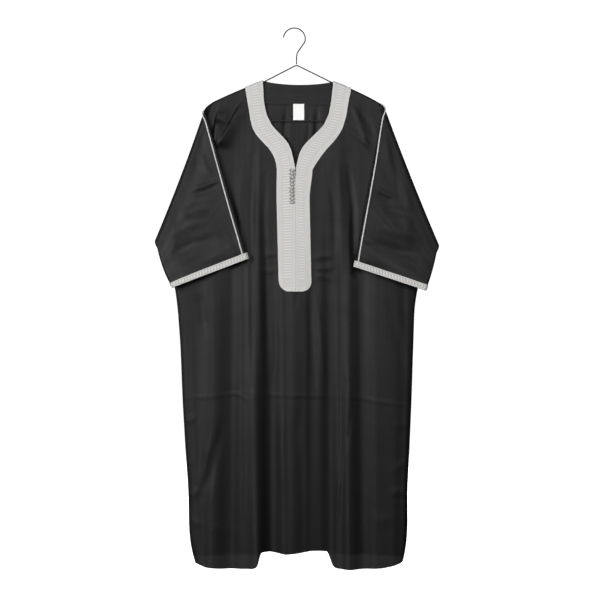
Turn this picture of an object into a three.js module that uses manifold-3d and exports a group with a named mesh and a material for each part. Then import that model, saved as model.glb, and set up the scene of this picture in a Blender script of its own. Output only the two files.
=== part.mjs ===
// A gandoura, a long loose robe with half sleeves, on a thin wire hanger.
// Millimetres, +Z up. The front faces -Y and the wearer's right is -X. The origin is the inside of
// the hook's crown, where a rail holds the hanger. The wire lies in the plane y = 0, between the
// front and the back panel. Each sleeve is folded forward over the end of the shoulder and hangs
// flat in front of the body.
import * as THREE from 'three';
import { mergeVertices } from 'three/addons/utils/BufferGeometryUtils.js';
import Module from 'manifold-3d';

// Walls and clearances.
const CLOTH = 1.2; // thickness of the satin wall
const BRAID = 1.6; // thickness of the braided trim
const FACING = 0.9; // thickness of the inner neck facing
const LABEL = 0.6; // thickness of the label
const SEAM = 0.3; // gap between two pieces at a seam
const SHOULDER_SEAM = 0.7; // gap at the shoulder seam, under the piping
const LAY = 0.7; // gap under a piece that is laid on a panel

// Hanger.
const WIRE_RADIUS = 1.7;
const HOOK_INSIDE_RADIUS = 27.5;
const HOOK_TIP_ANGLE = 172; // degrees, from +X towards +Z
const HOOK_LEAVE_ANGLE = -15;
const STEM_X = 6;
const STEM_TOP_Z = -66;
const APEX_Z = -97;
const BAR_Z = -245.7; // centre line of the bottom bar
const FRAME_HALF_WIDTH = 220.5; // from the stem to the wire's centre line at each end
// How far the wire's centre line lies under the shoulder line, near the neck point and beyond it.
const WIRE_UNDER_RIDGE = {
  beforeNeck: { inside: 1.5, under: 3.6 },
  atNeck: { outside: 4, under: 5.2 },
  beyond: { under: 3.6 },
};

// Shoulder line: on each side it falls from the neck point along a slightly bent line.
const SHOULDER = {
  right: { neckX: -83.5, neckZ: -138.6, slope: 0.37, bend: 0.0004 },
  left: { neckX: 103.4, neckZ: -140.7, slope: 0.355, bend: 0.00085 },
};
const RIDGE_RADIUS = 5.5; // the cloth's outer radius over the wire
const RIDGE_TURN = (RIDGE_RADIUS * Math.PI) / 2; // arc from the ridge's top to the upright panel

// How far behind the ridge's top the shoulder seam runs, measured along the cloth.
const SEAM_BEHIND = [
  { x: -225, arc: 14 },
  { x: -130.6, arc: 9 },
  { x: -83.5, arc: 3 },
  { x: 103.4, arc: 3 },
  { x: 151.6, arc: 9 },
  { x: 205, arc: 9 },
  { x: 222, arc: 2.5 },
];

// Sleeves. The armhole starts on the shoulder line at armholeX and runs to the underarm point. The
// flap's corners are the cuff's inner and outer end. armholeBow bends the armhole inwards.
const SIDES = [
  {
    name: 'right', sign: -1, armholeX: -215, underarmX: -353.9, underarmZ: -561, armholeBow: 4,
    cuffInnerX: -121.4, cuffInnerZ: -612.7, cuffOuterX: -321, cuffOuterZ: -689, bulge: 8,
    pipingAtTop: 14, pipingAtMiddle: 15, pipingAtCuff: 12, wireBendRadius: 29.2,
  },
  {
    name: 'left', sign: 1, armholeX: 217, underarmX: 367.8, underarmZ: -572.8, armholeBow: 3,
    cuffInnerX: 157.4, cuffInnerZ: -633.9, cuffOuterX: 347, cuffOuterZ: -696.5, bulge: 4,
    pipingAtTop: 3, pipingAtMiddle: 9.5, pipingAtCuff: 9, wireBendRadius: 28.2,
  },
];
const FOLD_RADIUS = 3; // radius of the front layer's turn where the sleeve folds forward
const SHEAR_TOP = 45; // how far the fold carries the sleeve down along the armhole, at its top
const SHEAR_UNDERARM = 25; // and at the underarm
const SLEEVE_LEAN = 12; // how much further from the body the cuff hangs than the fold
const SLEEVE_FULLNESS = 9; // half the flattened sleeve's depth at the cuff
const SLEEVE_WAVE = 1.6; // depth of the sleeve's soft diagonal waves
const SLEEVE_END_RADIUS = 7; // radius of the flattened sleeve's top and underarm folds
const CUFF_WIDTH = 17;
const PIPING_RADIUS = 1.8;

// Side seams below the underarm, down to the vent and the hem.
const SIDE_SEAM = {
  right: [
    { z: -561, x: -353.9 },
    { z: -620, x: -334 },
    { z: -680, x: -319 },
    { z: -740, x: -310.5 },
    { z: -843, x: -303 },
    { z: -992, x: -297 },
    { z: -1119, x: -289.6 },
    { z: -1225, x: -282 },
    { z: -1340, x: -279.5 },
    { z: -1392, x: -272 },
    { z: -1440, x: -256 },
  ],
  left: [
    { z: -572.8, x: 367.8 },
    { z: -620, x: 349 },
    { z: -680, x: 330 },
    { z: -740, x: 319.8 },
    { z: -843, x: 316.5 },
    { z: -992, x: 311.6 },
    { z: -1119, x: 306.2 },
    { z: -1225, x: 301 },
    { z: -1330, x: 301 },
    { z: -1385, x: 296 },
    { z: -1440, x: 282 },
  ],
};
const VENT_TOP_Z = -1238;
const VENT_LENGTH_TO_OPEN = 90; // the two edges part over this length
const VENT_HALF_GAP = 4.5;

// Folds are lines that run down a panel. x is given at the shoulder, chest, waist and hem, and
// depth, the distance of the cloth's outside from the wire's plane, at chest, waist, knee and hem.
const LEVEL = { shoulder: -200, chest: -420, waist: -760, knee: -1100, hem: -1430 };
const fold = (name, shoulder, chest, waist, hem, dChest, dWaist, dKnee, dHem) => ({
  name,
  x: { shoulder, chest, waist, hem },
  depth: { chest: dChest, waist: dWaist, knee: dKnee, hem: dHem },
});
const FRONT_FOLDS = [
  fold('hip_right', -194, -278, -272, -246, 6.2, 11, 14, 16),
  fold('outer_right', -176, -236, -232, -206, 6.8, 18, 23, 25),
  fold('small_valley_right', -152, -188, -186, -168, 6.4, 10, 12, 12),
  fold('ridge_right', -130, -150, -146, -130, 7.4, 20, 28, 33),
  fold('crest_right', -112, -116, -112, -97, 9, 20, 30, 38),
  fold('flank_right', -94, -92, -92, -88, 10.8, 13.2, 21, 30.8),
  fold('valley_right', -74, -68, -72, -68, 12.5, 10, 6.5, 6.5),
  fold('inner_right', -46, -42, -40, -34, 13.5, 17, 19, 22),
  fold('centre', -6, -4, -6, -8, 14.5, 20, 24, 27),
  fold('inner_left', 30, 32, 24, 18, 14, 18, 21, 24),
  fold('small_valley_left', 52, 48, 48, 44, 13.5, 14, 12, 12),
  fold('small_ridge_left', 72, 64, 64, 62, 12, 16, 17, 18),
  fold('valley_left', 92, 84, 84, 88, 11, 10, 6.5, 7),
  fold('crest_left', 112, 106, 104, 101, 9.5, 18, 29, 37),
  fold('ridge_left', 130, 144, 140, 132, 8, 20, 29, 34),
  fold('valley_outer_left', 152, 170, 169, 168, 6.4, 8.5, 10.5, 12),
  fold('broad_left', 174, 224, 216, 206, 6.8, 18, 24, 27),
  fold('hip_left', 189, 256, 266, 254, 6.4, 19, 26, 29),
  fold('edge_left', 202, 286, 296, 283, 5.8, 11, 14, 16),
];
const BACK_FOLDS = [
  fold('hip_right', -192, -276, -276, -240, 7, 12, 16, 19),
  fold('ridge_right', -150, -205, -190, -168, 9.5, 19, 25, 29),
  fold('valley_right', -98, -120, -114, -106, 8, 9, 9.5, 9),
  fold('ridge_inner_right', -45, -48, -50, -50, 12, 20, 27, 31),
  fold('valley_centre', 6, 6, 4, 0, 8.5, 9.5, 10, 10),
  fold('ridge_inner_left', 58, 64, 62, 54, 12, 21, 28, 31),
  fold('valley_left', 110, 126, 120, 110, 8, 9, 9.5, 9),
  fold('ridge_left', 160, 215, 200, 176, 9.5, 19, 25, 29),
  fold('hip_left', 196, 284, 288, 262, 7, 12, 16, 19),
];
const SIDE_TURN_RADIUS = 12; // the panels turn in to the side seam over this width
const SIDE_TURN_EASE = 150; // height below the underarm over which the turn gets that wide
const SETTLE_LENGTH = 60; // length below the ridge over which a panel takes on its folds
const SIDE_DEPTH = { shoulder: 5.5, chest: 5.5, waist: 8, knee: 10, hem: 11 };

// Slanting folds that fan out from the shoulders on the front.
const SLANT_FOLDS = [
  { name: 'shoulder_right', x1: -128, z1: -190, x2: -205, z2: -330, width: 9, height: 3.2 },
  { name: 'shoulder_left', x1: 152, z1: -196, x2: 196, z2: -325, width: 8, height: 3 },
  { name: 'collar_left', x1: 136, z1: -262, x2: 206, z2: -318, width: 8, height: 2.2 },
];

// Hems. The front's two side parts hang lower than its middle, which drops back between two folds.
const FRONT_HEM = [
  { x: -290, z: -1408 },
  { x: -258, z: -1421 },
  { x: -236, z: -1430 },
  { x: -195, z: -1433.5 },
  { x: -140, z: -1433 },
  { x: -112, z: -1432 },
  { x: -104, z: -1430 },
  { x: -97, z: -1425 },
  { x: -88, z: -1389 },
  { x: -66, z: -1389 },
  { x: -22, z: -1396.5 },
  { x: 10, z: -1393 },
  { x: 46, z: -1387 },
  { x: 70, z: -1387 },
  { x: 88, z: -1389 },
  { x: 101, z: -1425 },
  { x: 106, z: -1431 },
  { x: 116, z: -1433.5 },
  { x: 148, z: -1436 },
  { x: 232, z: -1432 },
  { x: 262, z: -1426 },
  { x: 282, z: -1419 },
  { x: 305, z: -1402 },
];
const BACK_HEM_SIDE_Z = -1398;
const BACK_HEM_RISE = 8; // the back hem is this much higher in the middle

// Neck and placket braid: inner is the edge at the neck opening, outer the edge on the panel.
const station = (name, innerX, innerZ, outerX, outerZ) => ({ name, innerX, innerZ, outerX, outerZ });
const NECK_BAND = {
  right: [
    station('shoulder', -83.5, -146, -129.5, -164),
    station('collar', -80.3, -198, -123.5, -200),
    station('collar_low', -73.5, -230, -117.5, -238),
    station('curve_1', -60, -257, -110.5, -268),
    station('curve_2', -44, -275, -99, -286),
    station('curve_3', -30, -289, -83, -303),
    station('curve_4', -17, -304, -65, -322),
    station('curve_5', -8, -324, -54, -341),
    station('curve_6', -2.5, -348, -48.5, -358),
    station('slit_top', 2.4, -371.5, -46.4, -374),
  ],
  left: [
    station('shoulder', 103, -148, 150, -166),
    station('collar', 97.5, -198, 143, -200),
    station('collar_low', 91, -230, 137.5, -236),
    station('curve_1', 78, -258, 128, -266),
    station('curve_2', 60, -276, 118, -284),
    station('curve_3', 43, -293, 103, -303),
    station('curve_4', 26, -310, 85, -322),
    station('curve_5', 14, -330, 70, -342),
    station('curve_6', 9, -350, 57, -360),
    station('slit_top', 4.6, -371.5, 48, -377),
  ],
};
const SLIT_X = 3.5;
const SLIT_HALF_WIDTH = 0.6;
const SLIT_END_Z = -478; // below this the placket's two halves lie on uncut cloth
const PLACKET_BOTTOM_Z = -699;
const PLACKET = {
  right: { topX: -49, bottomX: -40.5, cornerRadius: 28 },
  left: { topX: 38.5, bottomX: 45.5, cornerRadius: 27 },
};
const PLACKET_EASE = 4; // the collar's width turns into the placket's over one part in so many
const BACK_BAND_MIDDLE_WIDTH = 44;

// Back neck, facing and label.
const NECK_DROP = 9; // how far the back neckline dips below the line between the neck points
const NECK_CUT_BACK = 0.6; // how far the front's neck edge lies back from the braid's inner edge
const FACING_DEPTH = 57;
const FACING_END_CLEARANCE = 5;
const LABEL_SIZE = { centreX: 11.5, width: 29, topZ: -200, bottomZ: -243 };

// Knotted buttons, from the slit's top down.
const KNOT_COUNT = 10;
const KNOT_X = -5.2;
const KNOT_TOP_Z = -378;
const KNOT_PITCH = 9.4;
const KNOT_RADIUS = 4.4;
const KNOT_HEIGHT = 3.6;

const FINISH = {
  satin: { color: 0x202123, roughness: 0.55, metalness: 0 },
  braid: { color: 0xb9b7b4, roughness: 0.7, metalness: 0 },
  knot: { color: 0x9a9794, roughness: 0.65, metalness: 0 },
  label: { color: 0xf2f2f0, roughness: 0.6, metalness: 0 },
  wire: { color: 0x2b2b2d, roughness: 0.35, metalness: 0.6 },
};

const wasm = await Module();
wasm.setup();
const group = new THREE.Group();

const mix = (a, b, t) => a + (b - a) * t;
const clamp01 = (t) => Math.min(1, Math.max(0, t));
const smooth = (t) => clamp01(t) ** 2 * (3 - 2 * clamp01(t));
const radians = (degrees) => (degrees * Math.PI) / 180;
const steps = (count) => Array.from({ length: count + 1 }, (_, i) => i / count);

// Value of one column where another column has the value `at`, on straight lines between rows.
function lookUp(rows, key, at, column, ease = (t) => t) {
  const rising = rows[rows.length - 1][key] > rows[0][key] ? 1 : -1;
  if ((at - rows[0][key]) * rising <= 0) return rows[0][column];
  for (let i = 1; i < rows.length; i++) {
    const low = rows[i - 1];
    const high = rows[i];
    if ((at - high[key]) * rising <= 0) {
      return mix(low[column], high[column], ease((at - low[key]) / (high[key] - low[key])));
    }
  }
  return rows[rows.length - 1][column];
}

// Height of the shoulder line, straight across the neck.
function ridgeZ(x) {
  const { right, left } = SHOULDER;
  if (x < right.neckX) {
    const out = right.neckX - x;
    return right.neckZ - right.slope * out - right.bend * out * out;
  }
  if (x > left.neckX) {
    const out = x - left.neckX;
    return left.neckZ - left.slope * out - left.bend * out * out;
  }
  return mix(right.neckZ, left.neckZ, (x - right.neckX) / (left.neckX - right.neckX));
}

// The outline of the body on one side: the armhole down to the underarm, then the side seam.
function edgeX(side, z) {
  if (z >= side.underarmZ) {
    const top = ridgeZ(side.armholeX);
    const down = (z - top) / (side.underarmZ - top);
    const bow = side.armholeBow * 4 * down * (1 - down);
    return mix(side.armholeX, side.underarmX, down) - side.sign * bow;
  }
  return lookUp(SIDE_SEAM[side.name], 'z', z, 'x');
}

const levels = (values) => Object.entries(values).map(([name, value]) => ({ z: LEVEL[name], value }));
const atLevel = (values, z) => lookUp(levels(values), 'z', z, 'value', smooth);
const foldX = (line, z) => lookUp(levels(line.x), 'z', z, 'value');
const foldDepth = (line, z) => atLevel({ shoulder: RIDGE_RADIUS, ...line.depth }, z);

// Distance from the wire's plane to the cloth's outside on a flat run of a panel.
function foldedDepth(folds, x, z) {
  const edge = SIDES.map((side) => ({ x: edgeX(side, z), depth: atLevel(SIDE_DEPTH, z) }));
  const rows = [edge[0], ...folds.map((f) => ({ x: foldX(f, z), depth: foldDepth(f, z) })), edge[1]];
  return lookUp(rows, 'x', x, 'depth', smooth);
}

function slantRelief(x, z) {
  let relief = 0;
  for (const f of SLANT_FOLDS) {
    const dx = f.x2 - f.x1;
    const dz = f.z2 - f.z1;
    const run = Math.hypot(dx, dz);
    const along = ((x - f.x1) * dx + (z - f.z1) * dz) / (run * run);
    const across = ((x - f.x1) * dz - (z - f.z1) * dx) / run;
    const ends = smooth(along * 4) * smooth((1 - along) * 4);
    relief += f.height * ends * Math.exp(-((across / f.width) ** 2));
  }
  return relief;
}

const sideRadius = (side, z) => (
  mix(RIDGE_RADIUS, SIDE_TURN_RADIUS, smooth((side.underarmZ - z) / SIDE_TURN_EASE))
);

// Near the side seam the cloth turns in until the two panels meet.
function sideTurn(x, z) {
  return SIDES.map((side) => {
    const above = Math.max(0, z - side.underarmZ);
    const reach = above > 0 ? side.underarmX : edgeX(side, z);
    const near = clamp01(Math.hypot(x - reach, above) / sideRadius(side, z));
    return Math.sqrt(1 - (1 - near) ** 2);
  }).reduce((a, b) => Math.min(a, b));
}

function panelDepth(folds, x, z) {
  const full = foldedDepth(folds, x, z) + (folds === FRONT_FOLDS ? slantRelief(x, z) : 0);
  const vent = VENT_HALF_GAP * smooth((VENT_TOP_Z - z) / VENT_LENGTH_TO_OPEN);
  const least = SEAM / 2 + vent;
  return least + (full - least) * sideTurn(x, z);
}

// A point of the body's outside. arc is measured along the cloth from the ridge's top, positive to
// the front and negative to the back.
function skin(x, arc) {
  const crown = ridgeZ(x);
  if (Math.abs(arc) < RIDGE_TURN) {
    const angle = arc / RIDGE_RADIUS;
    const z = crown - RIDGE_RADIUS * (1 - Math.cos(angle));
    return new THREE.Vector3(x, -RIDGE_RADIUS * Math.sin(angle), z);
  }
  const z = crown - RIDGE_RADIUS - (Math.abs(arc) - RIDGE_TURN);
  const folds = arc > 0 ? FRONT_FOLDS : BACK_FOLDS;
  const settle = smooth((Math.abs(arc) - RIDGE_TURN) / SETTLE_LENGTH);
  const depth = mix(RIDGE_RADIUS * sideTurn(x, z), panelDepth(folds, x, z), settle);
  return new THREE.Vector3(x, -Math.sign(arc) * depth, z);
}
const arcAt = (x, z) => ridgeZ(x) - RIDGE_RADIUS - z + RIDGE_TURN;
const seamArc = (x) => lookUp(SEAM_BEHIND, 'x', x, 'arc');

// Outward normals of a grid of points, rows by columns. around says that the columns close.
function normals(grid, around) {
  const rows = grid.length;
  const columns = grid[0].length;
  return grid.map((row, i) => row.map((_, j) => {
    const left = around ? (j + columns - 1) % columns : Math.max(0, j - 1);
    const right = around ? (j + 1) % columns : Math.min(columns - 1, j + 1);
    const across = row[right].clone().sub(row[left]);
    const down = grid[Math.min(rows - 1, i + 1)][j].clone().sub(grid[Math.max(0, i - 1)][j]);
    return down.cross(across).normalize();
  }));
}

// Moves a grid along its normals. hold gives a direction in which an edge's points don't move.
function lifted(grid, amount, { around = false, outward = 1, hold = () => null } = {}) {
  const out = normals(grid, around);
  return grid.map((row, i) => row.map((point, j) => {
    const move = out[i][j].multiplyScalar(outward);
    const fixed = hold(i, j);
    if (fixed) move.addScaledVector(fixed, -move.dot(fixed)).normalize();
    return point.clone().addScaledVector(move, amount);
  }));
}

// A closed solid between two grids of the same size.
function between(outer, inner, around) {
  const rows = outer.length;
  const columns = outer[0].length;
  const positions = [...outer.flat(), ...inner.flat()].flatMap((p) => [p.x, p.y, p.z]);
  const inside = rows * columns;
  const index = [];
  const quad = (a, b, c, d) => index.push(a, b, c, a, c, d);
  const at = (i, j) => i * columns + (j % columns);
  const spans = around ? columns : columns - 1;
  for (let i = 0; i < rows - 1; i++) {
    for (let j = 0; j < spans; j++) {
      quad(at(i, j), at(i, j + 1), at(i + 1, j + 1), at(i + 1, j));
      quad(inside + at(i, j), inside + at(i + 1, j), inside + at(i + 1, j + 1), inside + at(i, j + 1));
    }
  }
  for (let j = 0; j < spans; j++) {
    const end = rows - 1;
    quad(inside + at(0, j), inside + at(0, j + 1), at(0, j + 1), at(0, j));
    quad(at(end, j), at(end, j + 1), inside + at(end, j + 1), inside + at(end, j));
  }
  for (let i = 0; i < rows - 1 && !around; i++) {
    const end = columns - 1;
    quad(at(i, 0), at(i + 1, 0), inside + at(i + 1, 0), inside + at(i, 0));
    quad(inside + at(i, end), inside + at(i + 1, end), at(i + 1, end), at(i, end));
  }
  const geometry = new THREE.BufferGeometry();
  geometry.setAttribute('position', new THREE.Float32BufferAttribute(positions, 3));
  geometry.setIndex(index);
  return facingOut(geometry);
}

// Turns a closed geometry's faces round where they point in.
function facingOut(geometry) {
  const p = geometry.attributes.position;
  const order = geometry.index.array;
  const corner = [0, 1, 2].map(() => new THREE.Vector3());
  let volume = 0;
  for (let i = 0; i < order.length; i += 3) {
    corner.forEach((v, k) => v.fromBufferAttribute(p, order[i + k]));
    volume += corner[0].dot(corner[1].clone().cross(corner[2]));
  }
  if (volume < 0) {
    for (let i = 0; i < order.length; i += 3) [order[i], order[i + 1]] = [order[i + 1], order[i]];
  }
  return geometry;
}

function add(name, geometry, finish) {
  geometry.computeVertexNormals();
  const mesh = new THREE.Mesh(geometry, new THREE.MeshStandardMaterial(FINISH[finish]));
  mesh.name = name;
  group.add(mesh);
}

// A tube of round section along points. guides holds a direction square to the path at each point.
function tube(path, guides, radius, sides, closed) {
  const count = path.length;
  const rings = path.map((point, i) => {
    const before = path[closed ? (i + count - 1) % count : Math.max(0, i - 1)];
    const after = path[closed ? (i + 1) % count : Math.min(count - 1, i + 1)];
    const ahead = after.clone().sub(before).normalize();
    const side = ahead.clone().cross(guides[i]).normalize();
    const up = side.clone().cross(ahead);
    return steps(sides).slice(0, sides).map((t) => point.clone()
      .addScaledVector(side, radius * Math.cos(2 * Math.PI * t))
      .addScaledVector(up, radius * Math.sin(2 * Math.PI * t)));
  });
  const positions = rings.flat().flatMap((p) => [p.x, p.y, p.z]);
  const index = [];
  const spans = closed ? count : count - 1;
  for (let i = 0; i < spans; i++) {
    for (let j = 0; j < sides; j++) {
      const a = i * sides + j;
      const b = i * sides + ((j + 1) % sides);
      const c = ((i + 1) % count) * sides + ((j + 1) % sides);
      const d = ((i + 1) % count) * sides + j;
      index.push(a, b, c, a, c, d);
    }
  }
  if (!closed) {
    const last = (count - 1) * sides;
    for (let j = 1; j < sides - 1; j++) {
      index.push(0, j + 1, j, last, last + j, last + j + 1);
    }
  }
  const geometry = new THREE.BufferGeometry();
  geometry.setAttribute('position', new THREE.Float32BufferAttribute(positions, 3));
  geometry.setIndex(index);
  return facingOut(geometry);
}

function toManifold(geometry) {
  const bare = geometry.clone();
  for (const name of Object.keys(bare.attributes)) {
    if (name !== 'position') bare.deleteAttribute(name);
  }
  const merged = mergeVertices(bare, 1e-4);
  return new wasm.Manifold(new wasm.Mesh({
    numProp: 3,
    vertProperties: new Float32Array(merged.attributes.position.array),
    triVerts: new Uint32Array(merged.index.array),
  }));
}

function fromManifold(solid) {
  const mesh = solid.getMesh();
  const geometry = new THREE.BufferGeometry();
  geometry.setAttribute('position', new THREE.BufferAttribute(mesh.vertProperties, 3));
  geometry.setIndex(new THREE.BufferAttribute(mesh.triVerts, 1));
  return geometry;
}

// Hanger: one closed wire frame, and the stem with its hook standing on the frame's apex.
function buildHanger() {
  const forward = new THREE.Vector3(0, -1, 0);
  const wireAt = (x, z) => new THREE.Vector3(x, 0, z);
  const arm = (side) => {
    const endX = STEM_X + side.sign * FRAME_HALF_WIDTH;
    const radius = side.wireBendRadius;
    const centre = { x: endX - side.sign * radius, z: BAR_Z + radius };
    const { neckX, slope, bend } = SHOULDER[side.name];
    const fall = Math.atan(slope + 2 * bend * Math.abs(centre.x - neckX));
    const start = Math.PI / 2 - fall;
    const bendPoints = steps(9).map((t) => {
      const angle = mix(start, -Math.PI / 2, t);
      const x = centre.x + side.sign * radius * Math.cos(angle);
      return wireAt(x, centre.z + radius * Math.sin(angle));
    });
    const { beforeNeck, atNeck, beyond } = WIRE_UNDER_RIDGE;
    const corner = wireAt(neckX - side.sign * beforeNeck.inside, ridgeZ(neckX) - beforeNeck.under);
    const shoulder = steps(6).slice(0, -1).map((t) => {
      const x = mix(neckX + side.sign * atNeck.outside, bendPoints[0].x, t);
      const under = mix(atNeck.under, beyond.under, smooth(t * 3));
      return wireAt(x, ridgeZ(x) - under);
    });
    return [corner, ...shoulder, ...bendPoints];
  };
  const right = arm(SIDES[0]);
  const left = arm(SIDES[1]).reverse();
  const path = [wireAt(STEM_X, APEX_Z), ...right, ...left];
  add('hanger_frame', tube(path, path.map(() => forward), WIRE_RADIUS, 8, true), 'wire');

  const centreZ = -HOOK_INSIDE_RADIUS;
  const radius = HOOK_INSIDE_RADIUS + WIRE_RADIUS;
  const hook = steps(16).map((t) => {
    const angle = radians(mix(HOOK_TIP_ANGLE, HOOK_LEAVE_ANGLE, t));
    return wireAt(radius * Math.cos(angle), centreZ + radius * Math.sin(angle));
  });
  hook.push(wireAt(STEM_X + 4, STEM_TOP_Z + 5), wireAt(STEM_X + 0.8, STEM_TOP_Z - 2));
  hook.push(wireAt(STEM_X, STEM_TOP_Z - 9), wireAt(STEM_X, APEX_Z + WIRE_RADIUS + 0.6));
  add('hanger_hook', tube(hook, hook.map(() => forward), WIRE_RADIUS, 8, false), 'wire');
}

const CUTTER = { above: 30, depth: 120 }; // reach of the block that cuts the neck opening

// The neck opening's outline, seen from the front: the braid's inner edges and the slit.
function neckOutline() {
  const right = NECK_BAND.right.map((s) => [s.innerX - NECK_CUT_BACK, s.innerZ]);
  const left = NECK_BAND.left.map((s) => [s.innerX + NECK_CUT_BACK, s.innerZ]).reverse();
  const top = SHOULDER.right.neckZ + CUTTER.above;
  return [
    [SHOULDER.right.neckX - NECK_CUT_BACK, top], ...right,
    [SLIT_X - SLIT_HALF_WIDTH, SLIT_END_Z], [SLIT_X + SLIT_HALF_WIDTH, SLIT_END_Z],
    ...left, [SHOULDER.left.neckX + NECK_CUT_BACK, top],
  ];
}

// Columns of a panel: the side turns, the fold lines and points between them.
function panelColumns(folds, spans) {
  const turn = [0, 0.3, 1];
  const turned = (side) => turn.map((t) => (z) => edgeX(side, z) - side.sign * t * sideRadius(side, z));
  const rightSide = turned(SIDES[0]);
  const leftSide = turned(SIDES[1]).reverse();
  const lines = [rightSide[2], ...folds.map((f) => (z) => foldX(f, z)), leftSide[0]];
  const inner = lines.slice(1).flatMap((line, i) => {
    const before = lines[i];
    const last = i === lines.length - 2;
    return steps(spans).slice(1, last ? -1 : undefined).map((t) => (z) => mix(before(z), line(z), t));
  });
  return [...rightSide, ...inner, ...leftSide];
}

// Grid of a panel. arcs gives, for a place x, the distances from the ridge of all its rows.
function panelGrid(columns, arcs, sense) {
  const rowCount = arcs(0).length;
  return steps(rowCount - 1).map((_, i) => columns.map((column) => {
    let point = skin(column(LEVEL.shoulder), sense * arcs(0)[i]);
    for (let pass = 0; pass < 6; pass++) {
      const x = column(point.z);
      point = skin(x, sense * arcs(x)[i]);
    }
    return point;
  }));
}

// Panel edges keep to the armhole's upright plane above the underarm, to the seam plane below it,
// and square to the cloth at the shoulder seam.
function panelHold(grid) {
  const seamPlane = new THREE.Vector3(0, 1, 0);
  return (i, j) => {
    const side = j === 0 ? SIDES[0] : SIDES[1];
    if (j === 0 || j === grid[0].length - 1) {
      return grid[i][j].z > side.underarmZ ? armholeFrame(side).inward : seamPlane;
    }
    if (i > 0) return null;
    const { x } = grid[0][j];
    const seam = -backTopArc(x);
    return skin(x, seam + SEAM).sub(skin(x, seam - SEAM)).normalize();
  };
}

const crowdedRows = (count) => steps(count).slice(1).map((t) => t ** 1.1); // closer at the top

function buildPanels() {
  const frontRows = crowdedRows(22);
  const frontArcs = (x) => {
    const start = -seamArc(x) + SHOULDER_SEAM / 2;
    const end = arcAt(x, lookUp(FRONT_HEM, 'x', x, 'z'));
    const over = steps(5).map((t) => mix(start, RIDGE_TURN, t));
    return [...over, ...frontRows.map((t) => mix(RIDGE_TURN, end, t))];
  };
  const front = panelGrid(panelColumns(FRONT_FOLDS, 2), frontArcs, 1);
  const frontWall = between(front, lifted(front, -CLOTH, { hold: panelHold(front) }), false);
  const outline = new THREE.Shape(neckOutline().map(([x, z]) => new THREE.Vector2(x, z)));
  const cutter = new THREE.ExtrudeGeometry(outline, { depth: CUTTER.depth, bevelEnabled: false });
  cutter.rotateX(Math.PI / 2);
  cutter.translate(0, CUTTER.depth / 2, 0);
  const cut = toManifold(frontWall).subtract(toManifold(cutter));
  add('body_front', fromManifold(cut), 'satin');

  const backRows = crowdedRows(17);
  const neckRows = [0, 3, 6, 12]; // rows down from the neckline
  const backArcs = (x) => {
    const middle = (SHOULDER.right.neckX + SHOULDER.left.neckX) / 2;
    const half = (SHOULDER.left.neckX - SHOULDER.right.neckX) / 2;
    const start = backTopArc(x) + SHOULDER_SEAM / 2;
    const spread = ((x - middle) / (half * 3)) ** 2;
    const end = arcAt(x, BACK_HEM_SIDE_Z + BACK_HEM_RISE * (1 - Math.min(1, spread)));
    const last = start + neckRows[neckRows.length - 1];
    return [...neckRows.map((down) => start + down), ...backRows.map((t) => mix(last, end, t))];
  };
  const back = panelGrid(panelColumns(BACK_FOLDS, 3), backArcs, -1);
  const inside = lifted(back, -CLOTH, { outward: -1, hold: panelHold(back) });
  add('body_back', between(back, inside, false), 'satin');
}

// Where the back panel starts: at the shoulder seam, and at the dipped neckline between the seams.
function backTopArc(x) {
  const { right, left } = SHOULDER;
  if (x <= right.neckX || x >= left.neckX) return seamArc(x);
  const t = (x - right.neckX) / (left.neckX - right.neckX);
  const dip = NECK_DROP * Math.sin(Math.PI * t) ** 0.8;
  return seamArc(x) + dip;
}

// Directions of an armhole: down along it, and inwards, square to it, towards the body's middle.
function armholeFrame(side) {
  const top = new THREE.Vector3(side.armholeX, 0, ridgeZ(side.armholeX));
  const underarm = new THREE.Vector3(side.underarmX, 0, side.underarmZ);
  const down = underarm.clone().sub(top).normalize();
  const inward = new THREE.Vector3(side.sign * down.z, 0, -side.sign * down.x);
  return { down, inward, length: underarm.distanceTo(top) };
}

function armholePoint(side, along) {
  const top = ridgeZ(side.armholeX);
  const z = mix(top, side.underarmZ, along);
  return new THREE.Vector3(edgeX(side, z), 0, z);
}

// A point of a sleeve's outside. travel runs from -1 to 0 round the fold and from 0 to 1 down the
// flap. along runs from the sleeve's top line to the underarm. layer is 1 on the layer that faces
// the viewer, -1 on the one that lies next to the body, and between them in the rounded ends.
function sleevePoint(side, travel, along, layer) {
  const { down, inward } = armholeFrame(side);
  const shear = mix(SHEAR_TOP, SHEAR_UNDERARM, along);
  const turned = clamp01(travel + 1);
  const flap = clamp01(travel);
  const fullness = mix(RIDGE_RADIUS, SLEEVE_FULLNESS, smooth(flap));
  const middle = FOLD_RADIUS + fullness + SLEEVE_LEAN * flap;
  const reach = middle + fullness * layer;
  const foldY = -RIDGE_RADIUS - FOLD_RADIUS;
  const start = armholePoint(side, along).addScaledVector(inward, -SEAM);
  start.addScaledVector(down, shear * turned);
  if (travel < 0) {
    const angle = Math.PI * turned;
    start.addScaledVector(inward, -reach * Math.sin(angle));
    start.y = foldY + reach * Math.cos(angle);
    return start;
  }
  const cuff = new THREE.Vector3(
    mix(side.cuffInnerX, side.cuffOuterX, along), 0, mix(side.cuffInnerZ, side.cuffOuterZ, along),
  );
  const point = start.lerp(cuff, flap);
  point.addScaledVector(down, side.bulge * 4 * flap * (1 - flap) * along ** 2);
  const wave = Math.sin(2 * Math.PI * (1.4 * along + 1.1 * flap + 0.15));
  const ends = Math.sin(Math.PI * along);
  point.y = foldY - reach - SLEEVE_WAVE * wave * ends * smooth(flap * 2);
  return point;
}

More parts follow.
